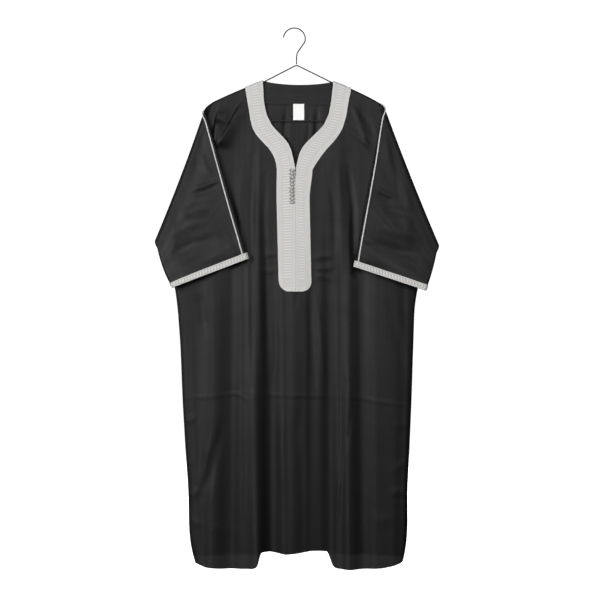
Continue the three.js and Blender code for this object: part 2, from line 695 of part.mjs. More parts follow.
// Places round a sleeve: the rounded top end, the near layer, the rounded underarm, the far layer.
function sleeveRound(side, travel, spans) {
  const flap = clamp01(travel);
  const { length } = armholeFrame(side);
  const cuffLength = Math.hypot(side.cuffOuterX - side.cuffInnerX, side.cuffOuterZ - side.cuffInnerZ);
  const end = SLEEVE_END_RADIUS / mix(length, cuffLength, flap);
  const turn = [0, 30, 60, 90].map((degrees) => ({
    along: end * (1 - Math.cos(radians(degrees))), layer: Math.sin(radians(degrees)),
  }));
  const middle = steps(spans).slice(1, -1).map((t) => ({ along: mix(end, 1 - end, t), layer: 1 }));
  const underarm = turn.map((p) => ({ along: 1 - p.along, layer: p.layer })).reverse();
  const near = [...turn, ...middle, ...underarm];
  const far = near.slice(1, -1).map((p) => ({ along: p.along, layer: -p.layer })).reverse();
  return [...near, ...far];
}

function sleeveGrid(side, travels, spans) {
  return travels.map((travel) => sleeveRound(side, travel, spans)
    .map((p) => sleevePoint(side, travel, p.along, p.layer)));
}

// How far down the flap a line lies that is `above` millimetres up from the cuff's edge.
function cuffTravel(side, along, above) {
  const start = sleevePoint(side, 0, along, 0);
  return 1 - above / start.distanceTo(sleevePoint(side, 1, along, 0));
}

function buildSleeve(side) {
  const { inward } = armholeFrame(side);
  const travels = [...steps(6).map((t) => t - 1), ...steps(10).slice(1)];
  const grid = sleeveGrid(side, travels, 8);
  const options = { around: true, outward: side.sign, hold: (i) => (i === 0 ? inward : null) };
  add(`sleeve_${side.name}`, between(grid, lifted(grid, -CLOTH, options), true), 'satin');

  const cuffGrid = steps(2).map((t) => sleeveRound(side, 1, 8).map((p) => {
    const travel = cuffTravel(side, p.along, CUFF_WIDTH * (1 - t));
    return sleevePoint(side, travel, p.along, p.layer);
  }));
  const cuffOptions = { around: true, outward: side.sign };
  const outer = lifted(cuffGrid, LAY + BRAID, cuffOptions);
  add(`cuff_${side.name}`, between(outer, lifted(cuffGrid, LAY, cuffOptions), true), 'braid');
}

// The piping follows the shoulder seam from the neck braid, then the sleeve's top seam to the cuff.
function buildPiping(side) {
  const outer = NECK_BAND[side.name][0].outerX;
  const lift = PIPING_RADIUS + LAY;
  const path = [];
  const guides = [];
  const place = (point, normal) => {
    path.push(point.addScaledVector(normal, lift));
    guides.push(normal);
  };
  const normalAt = (at, toward) => {
    const along = at(0.5, 0).sub(at(-0.5, 0));
    const across = at(0, 0.5).sub(at(0, -0.5));
    const normal = along.cross(across).normalize();
    return normal.dot(toward) < 0 ? normal.negate() : normal;
  };
  for (const t of steps(10)) {
    const x = mix(outer + side.sign * 2, side.armholeX - side.sign * 2, t);
    const arc = -seamArc(x);
    const middle = new THREE.Vector3(x, 0, ridgeZ(x) - RIDGE_RADIUS);
    const at = (dx, da) => skin(x + dx, arc + da);
    place(skin(x, arc), normalAt(at, skin(x, arc).sub(middle)));
  }
  const { length, down } = armholeFrame(side);
  const cuffLength = Math.hypot(side.cuffOuterX - side.cuffInnerX, side.cuffOuterZ - side.cuffInnerZ);
  const last = cuffTravel(side, 0, CUFF_WIDTH + 3 * SEAM);
  const travels = [...steps(7).map((t) => t * 0.94 - 0.94), ...steps(14).slice(1).map((t) => t * last)];
  for (const travel of travels) {
    const flap = clamp01(travel);
    const inset = flap < 0.5
      ? mix(side.pipingAtTop, side.pipingAtMiddle, smooth(flap * 3))
      : mix(side.pipingAtMiddle, side.pipingAtCuff, smooth(flap * 2 - 1));
    const along = inset / mix(length, cuffLength, flap);
    const roundEnd = clamp01(inset / SLEEVE_END_RADIUS);
    const layer = Math.sqrt(1 - (1 - roundEnd) ** 2);
    const at = (dt, da) => sleevePoint(side, travel + dt * 0.02, along + da * 0.01, layer);
    const mid = sleevePoint(side, travel, along, 0).addScaledVector(down, 4);
    const point = sleevePoint(side, travel, along, layer);
    place(point, normalAt(at, point.clone().sub(mid)));
  }
  add(`piping_${side.name}`, tube(path, guides, PIPING_RADIUS, 6, false), 'braid');
}

// One side's neck and placket braid, over the ridge, down the neck edge and to its rounded end.
function buildNeckBand(side) {
  const rows = NECK_BAND[side.name];
  const across = steps(4);
  const first = rows[0];
  const over = steps(5).map((t) => across.map((w) => {
    const x = mix(first.innerX, first.outerX, w);
    return skin(x, mix(-seamArc(x) + SEAM / 2, RIDGE_TURN, t));
  }));
  const onFront = (x, z) => skin(x, arcAt(x, z));
  const collar = rows.flatMap((row, i) => (i === 0 ? [] : [0.5, 1].map((t) => across.map((w) => {
    const before = rows[i - 1];
    const x = mix(mix(before.innerX, before.outerX, w), mix(row.innerX, row.outerX, w), t);
    const z = mix(mix(before.innerZ, before.outerZ, w), mix(row.innerZ, row.outerZ, w), t);
    return onFront(x, z);
  }))));
  const last = rows[rows.length - 1];
  const { topX, bottomX, cornerRadius } = PLACKET[side.name];
  const inner = SLIT_X + side.sign * (SLIT_HALF_WIDTH + SEAM);
  const placket = steps(14).slice(1).map((t) => across.map((w) => {
    const outer = mix(mix(last.outerX, topX, smooth(t * PLACKET_EASE)), bottomX, t);
    const x = mix(mix(last.innerX, inner, smooth(t * PLACKET_EASE * 2)), outer, w ** 0.8);
    const intoCorner = Math.max(0, Math.abs(x - SLIT_X) - Math.abs(bottomX - SLIT_X) + cornerRadius);
    const rise = cornerRadius - Math.sqrt(Math.max(0, cornerRadius ** 2 - intoCorner ** 2));
    const top = mix(last.innerZ, last.outerZ, w);
    return onFront(x, mix(top, PLACKET_BOTTOM_Z + rise, t));
  }));
  const grid = [...over, ...collar, ...placket];
  const options = { outward: side.sign };
  const geometry = between(lifted(grid, LAY + BRAID, options), lifted(grid, LAY, options), false);
  add(`neck_band_${side.name}`, geometry, 'braid');
}

// The braid round the outside of the back neck, between the two shoulder seams.
function buildBackBand() {
  const right = NECK_BAND.right[0];
  const left = NECK_BAND.left[0];
  const grid = steps(22).map((t) => steps(5).map((w) => {
    const innerX = mix(right.innerX, left.innerX, t);
    const outerX = mix(right.outerX, left.outerX, (1 - Math.cos(Math.PI * t)) / 2);
    const innerArc = backTopArc(innerX) + SEAM / 2;
    const outerArc = seamArc(outerX) + BACK_BAND_MIDDLE_WIDTH * Math.sin(Math.PI * t) ** 0.75;
    return skin(mix(innerX, outerX, w), -mix(innerArc, Math.max(outerArc, seamArc(outerX)) + SEAM, w));
  }));
  const geometry = between(lifted(grid, LAY + BRAID), lifted(grid, LAY), false);
  add('neck_band_back', geometry, 'braid');
}

function buildFacingAndLabel() {
  const inside = CLOTH + LAY + SEAM;
  const from = SHOULDER.right.neckX + FACING_END_CLEARANCE;
  const to = SHOULDER.left.neckX - FACING_END_CLEARANCE;
  const facing = steps(14).map((t) => steps(6).map((w) => {
    const x = mix(from, to, t);
    const start = Math.max(backTopArc(x) + 1, RIDGE_TURN * 0.8);
    return skin(x, -mix(start, arcAt(x, ridgeZ(x) - RIDGE_RADIUS - FACING_DEPTH), w));
  }));
  const outer = lifted(facing, -inside);
  add('back_neck_facing', between(outer, lifted(facing, -inside - FACING), false), 'satin');

  const { centreX, width, topZ, bottomZ } = LABEL_SIZE;
  const label = steps(2).map((t) => steps(3).map((w) => {
    const x = centreX + width * (t - 0.5);
    return skin(x, -arcAt(x, mix(topZ, bottomZ, w)));
  }));
  const near = inside + FACING + SEAM;
  const front = lifted(label, -near - LABEL);
  add('label', between(lifted(label, -near), front, false), 'label');
}

// A knot: a small domed centre inside a rolled ring.
function buildKnots() {
  // Parts of the knot's radius and of its height, from the seat to the dome's top.
  const profile = [
    [0, 0], [0.92, 0], [1, 0.35], [0.82, 0.62], [0.6, 0.5], [0.42, 0.9], [0, 1],
  ].map(([out, up]) => new THREE.Vector2(KNOT_RADIUS * out, KNOT_HEIGHT * up));
  for (let i = 0; i < KNOT_COUNT; i++) {
    const z = KNOT_TOP_Z - i * KNOT_PITCH;
    const seat = skin(KNOT_X, arcAt(KNOT_X, z));
    const geometry = mergeVertices(bareLathe(profile, 10), 1e-4);
    geometry.rotateX(Math.PI);
    geometry.translate(KNOT_X, seat.y - LAY - BRAID - LAY, z);
    add(`knot_${String(i + 1).padStart(2, '0')}`, facingOut(geometry), 'knot');
  }
}

function bareLathe(profile, segments) {
  const geometry = new THREE.LatheGeometry(profile, segments);
  geometry.deleteAttribute('normal');
  geometry.deleteAttribute('uv');
  return geometry;
}

buildHanger();
buildPanels();
for (const side of SIDES) {
  buildSleeve(side);
  buildPiping(side);
  buildNeckBand(side);
}
buildBackBand();
buildFacingAndLabel();
buildKnots();

export default group;
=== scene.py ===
# A gandoura, a long loose robe of black satin with half sleeves and grey braid, on a wire hanger.
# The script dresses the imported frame, in the frame's own place: +Z up, the front towards -Y, the
# wearer's right at -X, the origin inside the hook. Lengths here are millimetres unless a name says
# metres, and mesh_piece() turns them into metres.
import math

import bpy
import numpy as np
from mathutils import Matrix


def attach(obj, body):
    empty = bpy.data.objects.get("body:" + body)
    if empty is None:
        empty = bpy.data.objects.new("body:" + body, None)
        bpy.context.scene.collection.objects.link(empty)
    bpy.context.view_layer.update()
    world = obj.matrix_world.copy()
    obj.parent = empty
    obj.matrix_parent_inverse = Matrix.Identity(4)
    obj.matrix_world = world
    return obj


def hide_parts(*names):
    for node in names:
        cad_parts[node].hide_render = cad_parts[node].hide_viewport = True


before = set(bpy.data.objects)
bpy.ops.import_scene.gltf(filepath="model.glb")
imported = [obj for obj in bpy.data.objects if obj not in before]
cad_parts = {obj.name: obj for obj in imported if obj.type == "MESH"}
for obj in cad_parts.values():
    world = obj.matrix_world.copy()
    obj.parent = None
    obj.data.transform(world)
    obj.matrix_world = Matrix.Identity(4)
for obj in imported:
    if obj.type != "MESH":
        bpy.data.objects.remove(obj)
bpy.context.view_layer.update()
scene = bpy.context.scene


# ---- View and studio -----------------------------------------------------------------------
# A long lens, level with the garment's middle, looks straight at its front. Two square soft lights
# stand before it, on the left and beside the lens, weaker ones on both sides and one behind. The
# pale floor and the white wall only show, and light nothing.
VIEW_DISTANCE_METRES = 4.5
VIEW_SPAN_METRES = 1.59  # width of the view where the cloth hangs
VIEW_MIDDLE_METRES = (0.0151, -0.015, -0.7215)
FLOOR_METRES = -1.53
WALL_RADIUS_METRES = 14
SKY_COLOUR = (0.8, 0.82, 0.85, 1)
SKY_STRENGTH = 0.035
LIGHTS = (  # name, place and width in metres, watts
    ("light_left", (-2.4, -4.1, 0.2), 1.8, 180),
    ("light_front", (1.1, -4.8, 0.7), 1.6, 98),
    ("light_side", (-4.4, -0.7, -0.1), 1.4, 40),
    ("light_right", (3.4, -2.2, 0.2), 1.0, 22),
    ("light_behind", (0.6, 3.8, 0.6), 1.8, 130),
)
LIGHTS_AIM = (0, 0, -0.7)

view_x, view_y, view_z = VIEW_MIDDLE_METRES
camera = bpy.data.objects.new("camera", bpy.data.cameras.new("camera"))
camera.data.sensor_width = 36
camera.data.lens = 36 * VIEW_DISTANCE_METRES / VIEW_SPAN_METRES
camera.location = (view_x, view_y - VIEW_DISTANCE_METRES, view_z)
camera.rotation_euler = (math.pi / 2, 0, 0)
scene.collection.objects.link(camera)
scene.camera = camera
scene.view_settings.view_transform = "Standard"

for name, place, width, watts in LIGHTS:
    light = bpy.data.lights.new(name, "AREA")
    light.size = width
    light.energy = watts
    lamp = bpy.data.objects.new(name, light)
    lamp.location = place
    away = np.array(place) - np.array(LIGHTS_AIM)
    lamp.rotation_euler = (
        math.atan2(math.hypot(away[0], away[1]), away[2]), 0, math.atan2(away[0], -away[1]),
    )
    scene.collection.objects.link(lamp)

world = bpy.data.worlds.new("studio")
world.use_nodes = True
world.node_tree.nodes["Background"].inputs["Color"].default_value = SKY_COLOUR
world.node_tree.nodes["Background"].inputs["Strength"].default_value = SKY_STRENGTH
scene.world = world


def stage_mesh(name, make):
    """A plain white object of the studio, lit evenly from within and seen by the camera alone."""
    make()
    stage = bpy.context.object
    stage.name = name
    surface = bpy.data.materials.new(name)
    surface.use_nodes = True
    shader = surface.node_tree.nodes["Principled BSDF"]
    shader.inputs["Base Color"].default_value = (0.86, 0.86, 0.86, 1)
    shader.inputs["Roughness"].default_value = 0.9
    shader.inputs["Emission Color"].default_value = (1, 1, 1, 1)
    shader.inputs["Emission Strength"].default_value = 1.0
    stage.data.materials.append(surface)
    stage.visible_diffuse = False
    stage.visible_glossy = False
    stage.visible_shadow = False


stage_mesh("floor", lambda: bpy.ops.mesh.primitive_circle_add(
    vertices=96, radius=WALL_RADIUS_METRES, fill_type="NGON", location=(0, 0, FLOOR_METRES)))
stage_mesh("wall", lambda: bpy.ops.mesh.primitive_uv_sphere_add(
    segments=64, ring_count=32, radius=WALL_RADIUS_METRES))


# ---- Hanger ----------------------------------------------------------------------------------
# One steel wire, 3.4 mm thick, bent to a frame with a hook that stands on its apex. The wire has a
# thin black coating, a little worn in places.
WIRE_RADIUS = 1.7
HOOK_INSIDE_RADIUS = 27.5
HOOK_TIP_DEGREES = 172
HOOK_LEAVE_DEGREES = -15
STEM_X = 6
APEX_Z = -97
BAR_Z = -245.7
FRAME_HALF_WIDTH = 220.5
WIRE_SIDES = 14
WIRE_STEP = 3
HOOK_STEP = 1.5
STEM_BEND = ((4, -61), (0.8, -68), (0, -75))  # beside the stem, and z
STEM_ABOVE_APEX = 2.1
WIRE_CORNER = (1.5, 3.6)  # the wire's corner: inward of the neck corner, and below the ridge
WIRE_PAST_CORNER = (4, 5.2)  # where its slope starts: outward of that corner, and below the ridge
WIRE_BELOW_RIDGE = 3.6
SHOULDER = {
    "right": {"neck_x": -83.5, "neck_z": -138.6, "slope": 0.37, "bend": 0.0004},
    "left": {"neck_x": 103.4, "neck_z": -140.7, "slope": 0.355, "bend": 0.00085},
}
# What each side has of its own. Later sections add the values of their pieces.
SIDES = {"right": {"sign": -1, "wire_bend": 29.2}, "left": {"sign": 1, "wire_bend": 28.2}}


def mix(a, b, t):
    """From a, where t is 0, to b, where t is 1."""
    return a + (b - a) * t


def smooth(t):
    """From 0 to 1, with no corner at either."""
    t = np.clip(t, 0, 1)
    return t * t * (3 - 2 * t)


def ridge_z(x):
    """Height of the shoulder line at x, straight across the neck."""
    right, left = SHOULDER["right"], SHOULDER["left"]
    past_right = np.maximum(0, right["neck_x"] - x)
    past_left = np.maximum(0, x - left["neck_x"])
    across = np.clip((x - right["neck_x"]) / (left["neck_x"] - right["neck_x"]), 0, 1)
    level = mix(right["neck_z"], left["neck_z"], across)
    fall_right = right["slope"] * past_right + right["bend"] * past_right**2
    fall_left = left["slope"] * past_left + left["bend"] * past_left**2
    return level - fall_right - fall_left


class Tone:
    """A number that changes over a surface. Sums on it become Math nodes."""

    def __init__(self, finish, socket):
        self.finish = finish
        self.socket = socket

    def maths(self, operation, first, second):
        return self.finish.node("ShaderNodeMath", {"operation": operation}, {0: first, 1: second})

    def __add__(self, other):
        return self.maths("ADD", self, other)

    def __rsub__(self, other):
        return self.maths("SUBTRACT", other, self)

    def __mul__(self, other):
        return self.maths("MULTIPLY", self, other)

    __radd__ = __add__
    __rmul__ = __mul__


class Finish:
    """A material with one Principled shader. Its constants are set on the shader's own sockets."""

    def __init__(self, name, **constants):
        self.material = bpy.data.materials.new(name)
        self.material.use_nodes = True
        self.tree = self.material.node_tree
        self.shader = self.tree.nodes["Principled BSDF"]
        for socket, value in constants.items():
            self.shader.inputs[socket.replace("_", " ")].default_value = value

    def node(self, kind, settings=None, inputs=None, output=0):
        """Adds a node, sets it up, feeds its sockets, and gives one of its outputs."""
        node = self.tree.nodes.new(kind)
        for name, value in (settings or {}).items():
            setattr(node, name, value)
        for key, value in (inputs or {}).items():
            self.feed(node.inputs[key], value)
        return Tone(self, node.outputs[output])

    def feed(self, socket, value):
        """Links a tone to a socket, or sets the socket to a value."""
        if isinstance(value, Tone):
            self.tree.links.new(value.socket, socket)
        elif isinstance(value, tuple) and len(value) == 3 and socket.type == "RGBA":
            socket.default_value = (*value, 1)
        else:
            socket.default_value = value

    def surface(self, **inputs):
        """Feeds the shader with what changes over the surface."""
        for name, value in inputs.items():
            self.feed(self.shader.inputs[name.replace("_", " ")], value)

    def place(self, scale=(1, 1, 1), attribute=None):
        """Where on the object, or on its cloth, a texture lies. scale is repeats for each metre."""
        if attribute:
            at = self.node("ShaderNodeAttribute", {"attribute_name": attribute}, output="Vector")
        else:
            at = self.node("ShaderNodeTexCoord", output="Object")
        return self.node("ShaderNodeMapping", inputs={"Vector": at, "Scale": scale})

    def third(self):
        """The third value that a piece's cloth holds."""
        cloth = self.place(attribute="cloth")
        return self.node("ShaderNodeSeparateXYZ", inputs={0: cloth}, output=2) * (1 / MILLIMETRE)

    def noise(self, scale, attribute=None, detail=2.0, roughness=0.5):
        """A cloudy tone. scale is clouds for each metre along each way of the place."""
        at = self.place(scale, attribute)
        return self.node(
            "ShaderNodeTexNoise",
            inputs={"Vector": at, "Scale": 1.0, "Detail": detail, "Roughness": roughness},
        )

    def colours(self, factor, low, high):
        """From the colour low, where the factor is 0, to the colour high."""
        return self.node(
            "ShaderNodeMix", {"data_type": "RGBA"}, {0: factor, 6: low, 7: high}, output=2,
        )

    def bump(self, height, strength, metres):
        """A relief for the shader's Normal. metres is its full height."""
        return self.node(
            "ShaderNodeBump", inputs={"Height": height, "Strength": strength, "Distance": metres},
        )


def polar(centre_z, radius, degrees):
    """Points of an arc in the wire's plane, round a centre at x 0."""
    angle = np.radians(degrees)
    return np.stack([radius * np.cos(angle), 0 * angle, centre_z + radius * np.sin(angle)], axis=-1)


def unit(vectors):
    """The same directions, each of length one."""
    return vectors / np.maximum(1e-9, np.linalg.norm(vectors, axis=-1, keepdims=True))


def run_along(path):
    """The distance along a path to each of its points."""
    return np.concatenate([[0], np.cumsum(np.linalg.norm(np.diff(path, axis=0), axis=1))])


def resample(path, step):
    """The same path with points a step apart."""
    path = np.asarray(path, float)
    run = run_along(path)
    at = np.linspace(0, run[-1], max(2, int(round(run[-1] / step)) + 1))
    return np.stack([np.interp(at, run, path[:, k]) for k in range(3)], axis=1)


def softened(path, passes, closed=False):
    """The same path with its corners rounded. Open ends stay."""
    path = np.asarray(path, float).copy()
    for _ in range(passes):
        before, after = np.roll(path, 1, axis=0), np.roll(path, -1, axis=0)
        eased = (before + 2 * path + after) / 4
        if not closed:
            eased[0], eased[-1] = path[0], path[-1]
        path = eased
    return path


MILLIMETRE = 0.001  # in metres
SHARP_ANGLE = math.radians(60)


def mesh_piece(name, vertices, faces, finish, cloth=None):
    """An object of the garment from points in millimetres. cloth holds each point's place in the
    weave, and a third value that its finish reads."""
    vertices = np.asarray(vertices, float)
    corners = vertices[np.array([face[:3] for face in faces])]
    volume = np.einsum("ij,ij->i", corners[:, 0], np.cross(corners[:, 1], corners[:, 2])).sum()
    if volume < 0:
        faces = [tuple(reversed(face)) for face in faces]
    mesh = bpy.data.meshes.new(name)
    faces = [tuple(int(i) for i in face) for face in faces]
    mesh.from_pydata((vertices * MILLIMETRE).tolist(), [], faces)
    if cloth is not None:
        layer = mesh.attributes.new("cloth", "FLOAT_VECTOR", "POINT")
        cloth = np.asarray(cloth, float) * MILLIMETRE
        layer.data.foreach_set("vector", cloth.astype(np.float32).ravel())
    mesh.validate()
    mesh.polygons.foreach_set("use_smooth", [True] * len(mesh.polygons))
    mesh.set_sharp_from_angle(angle=SHARP_ANGLE)
    mesh.materials.append(finish.material)
    piece = bpy.data.objects.new(name, mesh)
    scene.collection.objects.link(piece)
    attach(piece, "root")
    return piece


def grid_faces(rows, columns, first=0, around=False, ring=False):
    """Quads of a grid of points. around closes the columns, ring closes the rows."""
    row, column = np.arange(rows if ring else rows - 1), np.arange(columns if around else columns - 1)
    i, j = (grid.ravel() for grid in np.meshgrid(row, column, indexing="ij"))
    below, beside = (i + 1) % rows, (j + 1) % columns
    quads = np.stack(
        [i * columns + j, below * columns + j, below * columns + beside, i * columns + beside], axis=1,
    )
    return [tuple(quad) for quad in (quads + first).tolist()]


RING_START = (0.02, -1.0, 0.05)  # each ring's side is square to this and to its path


def tube(path, radius, sides, closed=False, twist=None):
    """Rings round a path. twist = (strands, pitch, depth) makes the surface that of a laid cord."""
    path = np.asarray(path, float)
    if closed:
        ahead = unit(np.roll(path, -1, axis=0) - np.roll(path, 1, axis=0))
    else:
        ahead = unit(np.gradient(path, axis=0))
    side = unit(np.cross(ahead, RING_START))
    up = np.cross(side, ahead)
    run = run_along(path)
    angle = np.linspace(0, 2 * np.pi, sides, endpoint=False)
    size = np.full((len(path), sides), float(radius))
    if twist:
        strands, pitch, depth = twist
        turned = angle - 2 * np.pi * run[:, None] / pitch
        size = size * (1 - depth + depth * np.abs(np.cos(strands / 2 * turned)))
    rings = (
        path[:, None] + (size * np.cos(angle))[..., None] * side[:, None]
        + (size * np.sin(angle))[..., None] * up[:, None]
    )
    faces = grid_faces(len(path), sides, around=True, ring=closed)
    if not closed:
        last = (len(path) - 1) * sides
        faces += [tuple(range(sides)), tuple(last + sides - 1 - k for k in range(sides))]
    cloth = np.stack(np.broadcast_arrays(angle / (2 * np.pi) * 10, run[:, None], 0.0), axis=-1)
    return rings.reshape(-1, 3), faces, cloth.reshape(-1, 3)


coated_wire = Finish("coated_wire", Base_Color=(0.018, 0.018, 0.02, 1), Metallic=0.35, Roughness=0.34)
coat_wear = coated_wire.noise((260, 260, 90), detail=3)
coated_wire.surface(
    Base_Color=coated_wire.colours(coat_wear, (0.012, 0.012, 0.014), (0.035, 0.034, 0.034)),
    Roughness=0.26 + 0.22 * coat_wear,
    Normal=coated_wire.bump(coated_wire.noise((900, 900, 900)), 0.25, 0.0002),
)


def hanger_arm(side_name):
    """The wire from the neck corner along the shoulder and round the end to the bar."""
    shoulder = SHOULDER[side_name]
    sign, radius = SIDES[side_name]["sign"], SIDES[side_name]["wire_bend"]
    centre_x = STEM_X + sign * (FRAME_HALF_WIDTH - radius)
    fall = math.atan(shoulder["slope"] + 2 * shoulder["bend"] * abs(centre_x - shoulder["neck_x"]))
    degrees = np.linspace(90 - math.degrees(fall), -90, 24)
    bend = polar(BAR_Z + radius, radius, degrees)
    bend[:, 0] = centre_x + sign * bend[:, 0]
    (corner_inside, corner_under), (start_outside, start_under) = WIRE_CORNER, WIRE_PAST_CORNER
    along = np.linspace(0, 1, 24)[:-1]
    x = mix(shoulder["neck_x"] + sign * start_outside, bend[0, 0], along)
    under = mix(start_under, WIRE_BELOW_RIDGE, smooth(along * 3))
    slope = np.stack([x, 0 * x, ridge_z(x) - under], axis=1)
    corner_x = shoulder["neck_x"] - sign * corner_inside
    corner = np.array([[corner_x, 0, ridge_z(shoulder["neck_x"]) - corner_under]])
    return np.concatenate([corner, slope, bend])


apex = np.array([[STEM_X, 0, APEX_Z]])
wire_route = np.concatenate([apex, hanger_arm("right"), hanger_arm("left")[::-1], apex])
wire_loop = softened(resample(wire_route, WIRE_STEP)[:-1], 3, closed=True)
points, faces, _ = tube(wire_loop, WIRE_RADIUS, WIRE_SIDES, closed=True)
wire_frame = mesh_piece("wire_frame", points, faces, coated_wire)
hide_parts("hanger_frame")

hook_degrees = np.linspace(HOOK_TIP_DEGREES, HOOK_LEAVE_DEGREES, 48)
hook_arc = polar(-HOOK_INSIDE_RADIUS, HOOK_INSIDE_RADIUS + WIRE_RADIUS, hook_degrees)
stem = np.array([(STEM_X + beside, 0, z) for beside, z in (*STEM_BEND, (0, APEX_Z + STEM_ABOVE_APEX))])
hook_path = softened(resample(np.concatenate([hook_arc, stem]), HOOK_STEP), 4)
points, faces, _ = tube(hook_path, WIRE_RADIUS, WIRE_SIDES)
wire_hook = mesh_piece("wire_hook", points, faces, coated_wire)
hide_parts("hanger_hook")


# ---- Front -------------------------------------------------------------------------------------
# The front is one length of thin black satin with a faint stripe in the weave. It hangs from the
# shoulder seam, which lies a little behind the wire, and falls in long soft folds. It was folded
# for packing, which left a pressed crease across it at the knee.
SATIN_THICKNESS = 0.7
SHOULDER_SEAM = 0.7
RIDGE_RADIUS = 5.5  # of the cloth's outside over the wire
RIDGE_TURN = RIDGE_RADIUS * math.pi / 2
SIDES["right"].update(armhole_x=-215, underarm=(-353.9, -561), bow=4)
SIDES["left"].update(armhole_x=217, underarm=(367.8, -572.8), bow=3)
SEAM_BEHIND = {"x": (-225, -130.6, -83.5, 103.4, 151.6, 205, 222), "arc": (14, 9, 3, 3, 9, 9, 2.5)}
SIDE_SEAM = {
    "right": {
        "z": (-561, -620, -680, -740, -843, -992, -1119, -1225, -1340, -1392, -1440),
        "x": (-353.9, -334, -319, -310.5, -303, -297, -289.6, -282, -279.5, -272, -256),
    },
    "left": {
        "z": (-572.8, -620, -680, -740, -843, -992, -1119, -1225, -1330, -1385, -1440),
        "x": (367.8, 349, 330, 319.8, 316.5, 311.6, 306.2, 301, 301, 296, 282),
    },
}
SEAM_SOFTENING = 20
SEAM_EASE = 40  # the side seam is softened from this far below the underarm
VENT_TOP_Z = -1238
VENT_LENGTH_TO_OPEN = 90
VENT_HALF_GAP = 4.5
SEAM_HALF_GAP = 0.15
FOLD_X_LEVELS = (-200, -420, -760, -1430)  # shoulder, chest, waist, hem
FOLD_DEPTH_LEVELS = (-200, -420, -760, -1100, -1430)  # shoulder, chest, waist, knee, hem
# name, x at the four levels, depth in front of the wire at the last four levels
FRONT_FOLDS = (
    ("hip_right", (-194, -278, -272, -246), (6.2, 11, 14, 16)),
    ("outer_right", (-176, -212, -206, -218), (6.8, 18, 23, 25)),
    ("small_valley_right", (-152, -172, -166, -168), (6.4, 11, 13, 13)),
    ("ridge_right", (-130, -142, -136, -134), (7.4, 17, 22, 25)),
    ("crest_right", (-112, -114, -108, -98), (9, 22, 30, 38)),
    ("valley_right", (-74, -68, -64, -60), (12.5, 10, 6.5, 6.5)),
    ("inner_right", (-46, -38, -26, -22), (13.5, 17, 18, 20)),
    ("centre", (-6, -2, 2, -4), (14.5, 20, 21, 22)),
    ("inner_left", (30, 32, 26, 26), (14, 18, 17, 16)),
    ("small_valley_left", (52, 48, 46, 46), (13.5, 14, 13, 13)),
    ("small_ridge_left", (72, 64, 66, 66), (12, 16, 14, 12)),
    ("valley_left", (92, 86, 92, 95), (11, 10, 6.5, 6)),
    ("crest_left", (112, 112, 118, 120), (9.5, 15, 16, 17)),
    ("ridge_left", (130, 142, 143, 144), (8, 20, 26, 29)),
    ("valley_outer_left", (152, 171, 176, 184), (6.4, 8.5, 10.5, 13)),
    ("broad_left", (174, 222, 220, 218), (6.8, 17, 21, 24)),
    ("hip_left", (189, 256, 266, 258), (6.4, 16, 20, 23)),
    ("edge_left", (202, 288, 298, 287), (5.8, 12, 15, 17)),
)
SIDE_DEPTHS = (5.5, 5.5, 8, 10, 11)
SIDE_TURN_RADIUS = 12
SIDE_TURN_EASE = 150
SETTLE_LENGTH = 60
CREASE_END = 0.25  # part of a crease's height that its ends keep
CREASE_FADE = 3.5
HEM_SOFTENING = 2.5
FRONT_HEM = {
    "x": (-290, -258, -236, -195, -140, -112, -104, -97, -88, -66, -22,
          10, 46, 70, 88, 101, 106, 116, 148, 232, 262, 282, 305),
    "z": (-1408, -1421, -1430, -1433.5, -1433, -1432, -1430, -1425, -1389, -1389, -1396.5,
          -1393, -1387, -1387, -1389, -1425, -1431, -1433.5, -1436, -1432, -1426, -1419, -1402),
}
